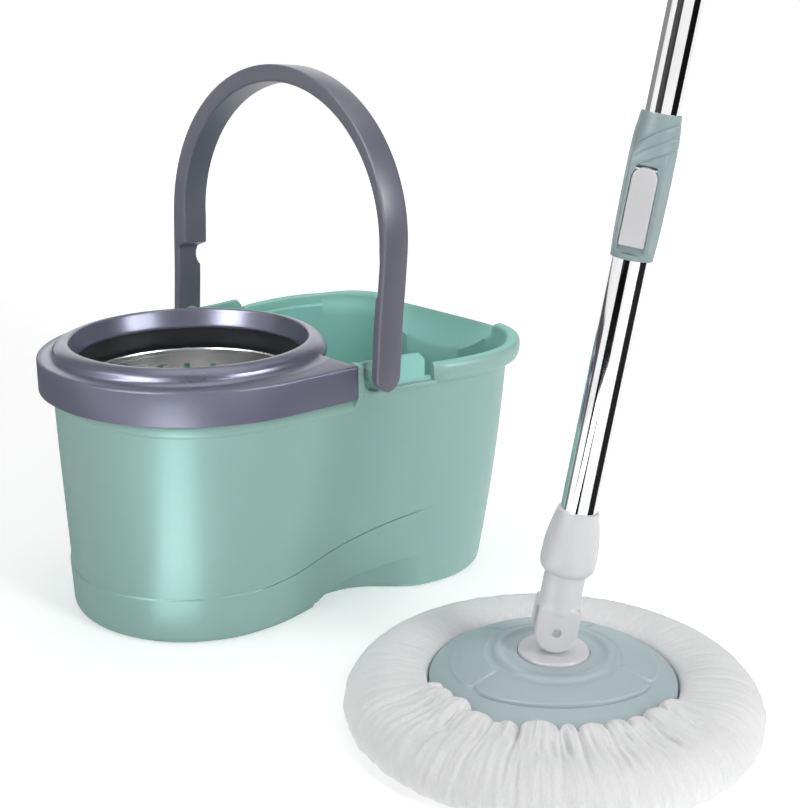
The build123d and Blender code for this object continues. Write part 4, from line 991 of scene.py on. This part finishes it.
# ------------------------------------------------------------ camera and stage
cam = bpy.data.cameras.new("camera")
cam.sensor_fit = "AUTO"
cam.sensor_width = 36.0
cam.lens = 36.0 * 1400.0 / 808.0
cam.clip_start, cam.clip_end = 0.01, 2000
cam_obj = bpy.data.objects.new("camera", cam)
bpy.context.scene.collection.objects.link(cam_obj)
C_POS = Vector((-0.6472, -1.0279, 0.5479))
C_FWD = Vector((0.62739, 0.72173, -0.29237)).normalized()
C_RIGHT = Vector((0.75471, -0.65606, 0.0)).normalized()
C_UP = C_RIGHT.cross(C_FWD)
cam_obj.matrix_world = Matrix((
    (C_RIGHT.x, C_UP.x, -C_FWD.x, C_POS.x),
    (C_RIGHT.y, C_UP.y, -C_FWD.y, C_POS.y),
    (C_RIGHT.z, C_UP.z, -C_FWD.z, C_POS.z),
    (0, 0, 0, 1),
))
bpy.context.scene.camera = cam_obj

FLOOR_GLOW = (0.38, 0.75)
KEY, FILL, TOP, SKY, GLOW, STREAK = 24.5, 6.0, 19.0, 0.30, 15.0, 7.4

floor_me = bpy.data.meshes.new("floor")
floor_me.from_pydata([(-400, -400, 0), (400, -400, 0), (400, 400, 0), (-400, 400, 0)], [], [(0, 1, 2, 3)])
floor = bpy.data.objects.new("floor", floor_me)
bpy.context.scene.collection.objects.link(floor)
fm, ft, fp = new_material("floor_paint")
fc = coords(ft)
fn = noise(ft, fc, 1.5, 2.0)
ft.links.new(two_colours(ft, fn, (0.84, 0.84, 0.84), (0.86, 0.86, 0.86)), fp.inputs["Base Color"])
fp.inputs["Roughness"].default_value = 0.8
fp.inputs["Specular IOR Level"].default_value = 0.1
# the floor is lit from below like a light table, more so further out
fl = ft.nodes.new("ShaderNodeVectorMath")
fl.operation = "LENGTH"
ft.links.new(fc, fl.inputs[0])
fr = remap(ft, fl.outputs["Value"], FLOOR_GLOW[0], FLOOR_GLOW[1], 0.8, 3.0)
fp.inputs["Emission Color"].default_value = (1, 1, 1, 1)
ft.links.new(fr, fp.inputs["Emission Strength"])
floor_me.materials.append(fm)


def area_light(name, pos, target, size, size_y, power, colour=(1, 1, 1)):
    d = bpy.data.lights.new(name, "AREA")
    d.shape = "RECTANGLE"
    d.size, d.size_y = size, size_y
    d.energy = power
    d.color = colour
    o = bpy.data.objects.new(name, d)
    bpy.context.scene.collection.objects.link(o)
    o.location = pos
    o.rotation_mode = "QUATERNION"
    o.rotation_quaternion = (Vector(target) - Vector(pos)).to_track_quat("-Z", "Y")
    o.visible_camera = False
    return o


MID = Vector((0.1, -0.15, 0.25))
C_BACK = Vector((C_FWD.x, C_FWD.y, 0)).normalized()


def place(right, back, up, origin=MID):
    """A place given as seen from the camera: to the right, towards the back, up."""
    return Vector((origin.x, origin.y, 0)) + C_RIGHT * right + C_BACK * back + Vector((0, 0, up))


# a key light from the right of the camera, a low fill from the left and a broad light overhead
area_light("key", place(1.35, -1.40, 1.15), place(0, 0, 0.25), 0.5, 2.0, KEY).visible_glossy = False
area_light("fill", place(-1.5, -0.5, 0.7), place(0, 0, 0.1), 1.0, 1.0, FILL).visible_glossy = False
area_light("top", place(0.1, 0.5, 2.4), MID, 2.0, 2.0, TOP)


def glow_card(name, corners, strength):
    """A bright card that only reflections see."""
    me = bpy.data.meshes.new(name)
    me.from_pydata([tuple(c) for c in corners], [], [(0, 1, 2, 3)])
    m, t, p = new_material(name + "_light")
    p.inputs["Base Color"].default_value = (0, 0, 0, 1)
    p.inputs["Emission Color"].default_value = (1, 1, 1, 1)
    t.links.new(remap(t, noise(t, coords(t), 0.5, 0.0), strength * 0.97, strength * 1.03), p.inputs["Emission Strength"])
    me.materials.append(m)
    o = bpy.data.objects.new(name, me)
    bpy.context.scene.collection.objects.link(o)
    o.visible_camera = False
    o.visible_diffuse = False
    o.visible_shadow = False
    o.visible_transmission = False
    return o


def upright(centre, half, z0, z1):
    """Corners of an upright card that faces the bucket."""
    c = Vector((centre[0], centre[1], 0))
    u = Vector((-c.y, c.x, 0)).normalized() * half
    return [c - u + Vector((0, 0, z0)), c + u + Vector((0, 0, z0)), c + u + Vector((0, 0, z1)), c - u + Vector((0, 0, z1))]


# two softboxes that the funnel mirrors, one above them for the slope of the ring,
# and the streak on the floor that the walls mirror
glow_card("box_right", upright((0.80, -2.06), 0.56, 1.0, 1.9), GLOW * 1.25)
glow_card("box_left", upright((-2.15, -0.485), 0.54, 1.0, 1.9), GLOW)
glow_card("box_ring", upright((0.25, -1.65), 0.34, 1.95, 2.5), GLOW * 0.6)
glow_card("box_back", upright((2.3, 3.2), 2.6, 0.5, 3.2), 1.6)
glow_card("box_bevel", upright((-1.5, 0.0), 0.8, 1.55, 2.15), GLOW)
glow_card("streak_near", [(-0.088, -0.138, 0.002), (-0.132, -0.076, 0.002), (-0.184, -0.096, 0.002), (-0.126, -0.189, 0.002)], STREAK * 0.6)
glow_card("streak", [(-0.126, -0.189, 0.002), (-0.184, -0.096, 0.002), (-0.572, -0.260, 0.002), (-0.423, -0.488, 0.002)], STREAK)
glow_card("streak_far", [(-0.423, -0.488, 0.002), (-0.572, -0.260, 0.002), (-1.48, -0.60, 0.002), (-1.07, -1.19, 0.002)], STREAK * 0.5)


def flag(name, azimuths, radii, level, z=0.0015):
    """A flat card on the floor round the foot of the pole that only reflections see."""
    a0, a1 = azimuths
    foot = Vector((0.09, -0.387, 0))
    vs, fs, n = [], [], 16
    for k in range(n + 1):
        a = math.radians(a0 + (a1 - a0) * k / n)
        d = C_RIGHT * math.sin(a) - C_BACK * math.cos(a)
        for r in radii:
            q = foot + d * r
            vs.append((q.x, q.y, z))
    for k in range(n):
        fs.append((2 * k, 2 * k + 1, 2 * k + 3, 2 * k + 2))
    me = bpy.data.meshes.new(name)
    me.from_pydata(vs, [], fs)
    m, t, p = new_material(name + "_paint")
    t.links.new(two_colours(t, noise(t, coords(t), 3.0), scaled((level,) * 3, 0.9), scaled((level,) * 3, 1.1)), p.inputs["Base Color"])
    p.inputs["Roughness"].default_value = 1.0
    p.inputs["Specular IOR Level"].default_value = 0.0
    me.materials.append(m)
    o = bpy.data.objects.new(name, me)
    bpy.context.scene.collection.objects.link(o)
    o.visible_camera = False
    o.visible_diffuse = False
    o.visible_shadow = False
    o.visible_transmission = False
    return o


flag("flag_left", (-55, -15), (0.17, 6.0), 0.01)
flag("flag_right", (47, 97), (0.17, 6.0), 0.02)
flag("flag_side", (-150, -92), (0.17, 6.0), 0.25, z=0.0012)


def wall_card(name, azimuths, strength):
    """An upright card far out, so that what the floor cards give goes on above the horizon."""
    foot = Vector((0.09, -0.387, 0))
    q = []
    for a in azimuths:
        a = math.radians(a)
        q.append(foot + (C_RIGHT * math.sin(a) - C_BACK * math.cos(a)) * 6.0)
    up = Vector((0, 0, 2.6))
    glow_card(name, [q[0], q[1], q[1] + up, q[0] + up], strength)


wall_card("wall_far_left", (-92, -55), 1.0)
wall_card("wall_left", (-55, -15), 0.01)
wall_card("wall_front", (-15, 47), 1.0)
wall_card("wall_right", (47, 97), 0.02)

# pale backdrop far behind the floor, for views from low down
bk_n = 64
bk_v = [(60 * math.cos(2 * math.pi * k / bk_n), 60 * math.sin(2 * math.pi * k / bk_n), h) for h in (-0.5, 60.0) for k in range(bk_n)]
bk_me = bpy.data.meshes.new("backdrop")
bk_me.from_pydata(bk_v, [], [(k, (k + 1) % bk_n, bk_n + (k + 1) % bk_n, bk_n + k) for k in range(bk_n)])
bk_m, bk_t, bk_p = new_material("backdrop_paint")
bk_p.inputs["Base Color"].default_value = (0, 0, 0, 1)
bk_p.inputs["Specular IOR Level"].default_value = 0.0
bk_p.inputs["Emission Color"].default_value = (1, 1, 1, 1)
bk_t.links.new(remap(bk_t, noise(bk_t, coords(bk_t), 0.02, 0.0), 0.98, 1.02), bk_p.inputs["Emission Strength"])
bk_me.materials.append(bk_m)
backdrop = bpy.data.objects.new("backdrop", bk_me)
bpy.context.scene.collection.objects.link(backdrop)
backdrop.visible_diffuse = False
backdrop.visible_glossy = False
backdrop.visible_shadow = False
backdrop.visible_transmission = False

world = bpy.data.worlds.new("studio")
bpy.context.scene.world = world
world.use_nodes = True
wt = world.node_tree
wt.nodes.clear()
wo = wt.nodes.new("ShaderNodeOutputWorld")
wb = wt.nodes.new("ShaderNodeBackground")
wb.inputs["Color"].default_value = (1, 1, 1, 1)
wb.inputs["Strength"].default_value = SKY
wt.links.new(wb.outputs["Background"], wo.inputs["Surface"])
bpy.context.scene.view_settings.view_transform = "Standard"
bpy.context.scene.view_settings.look = "None"
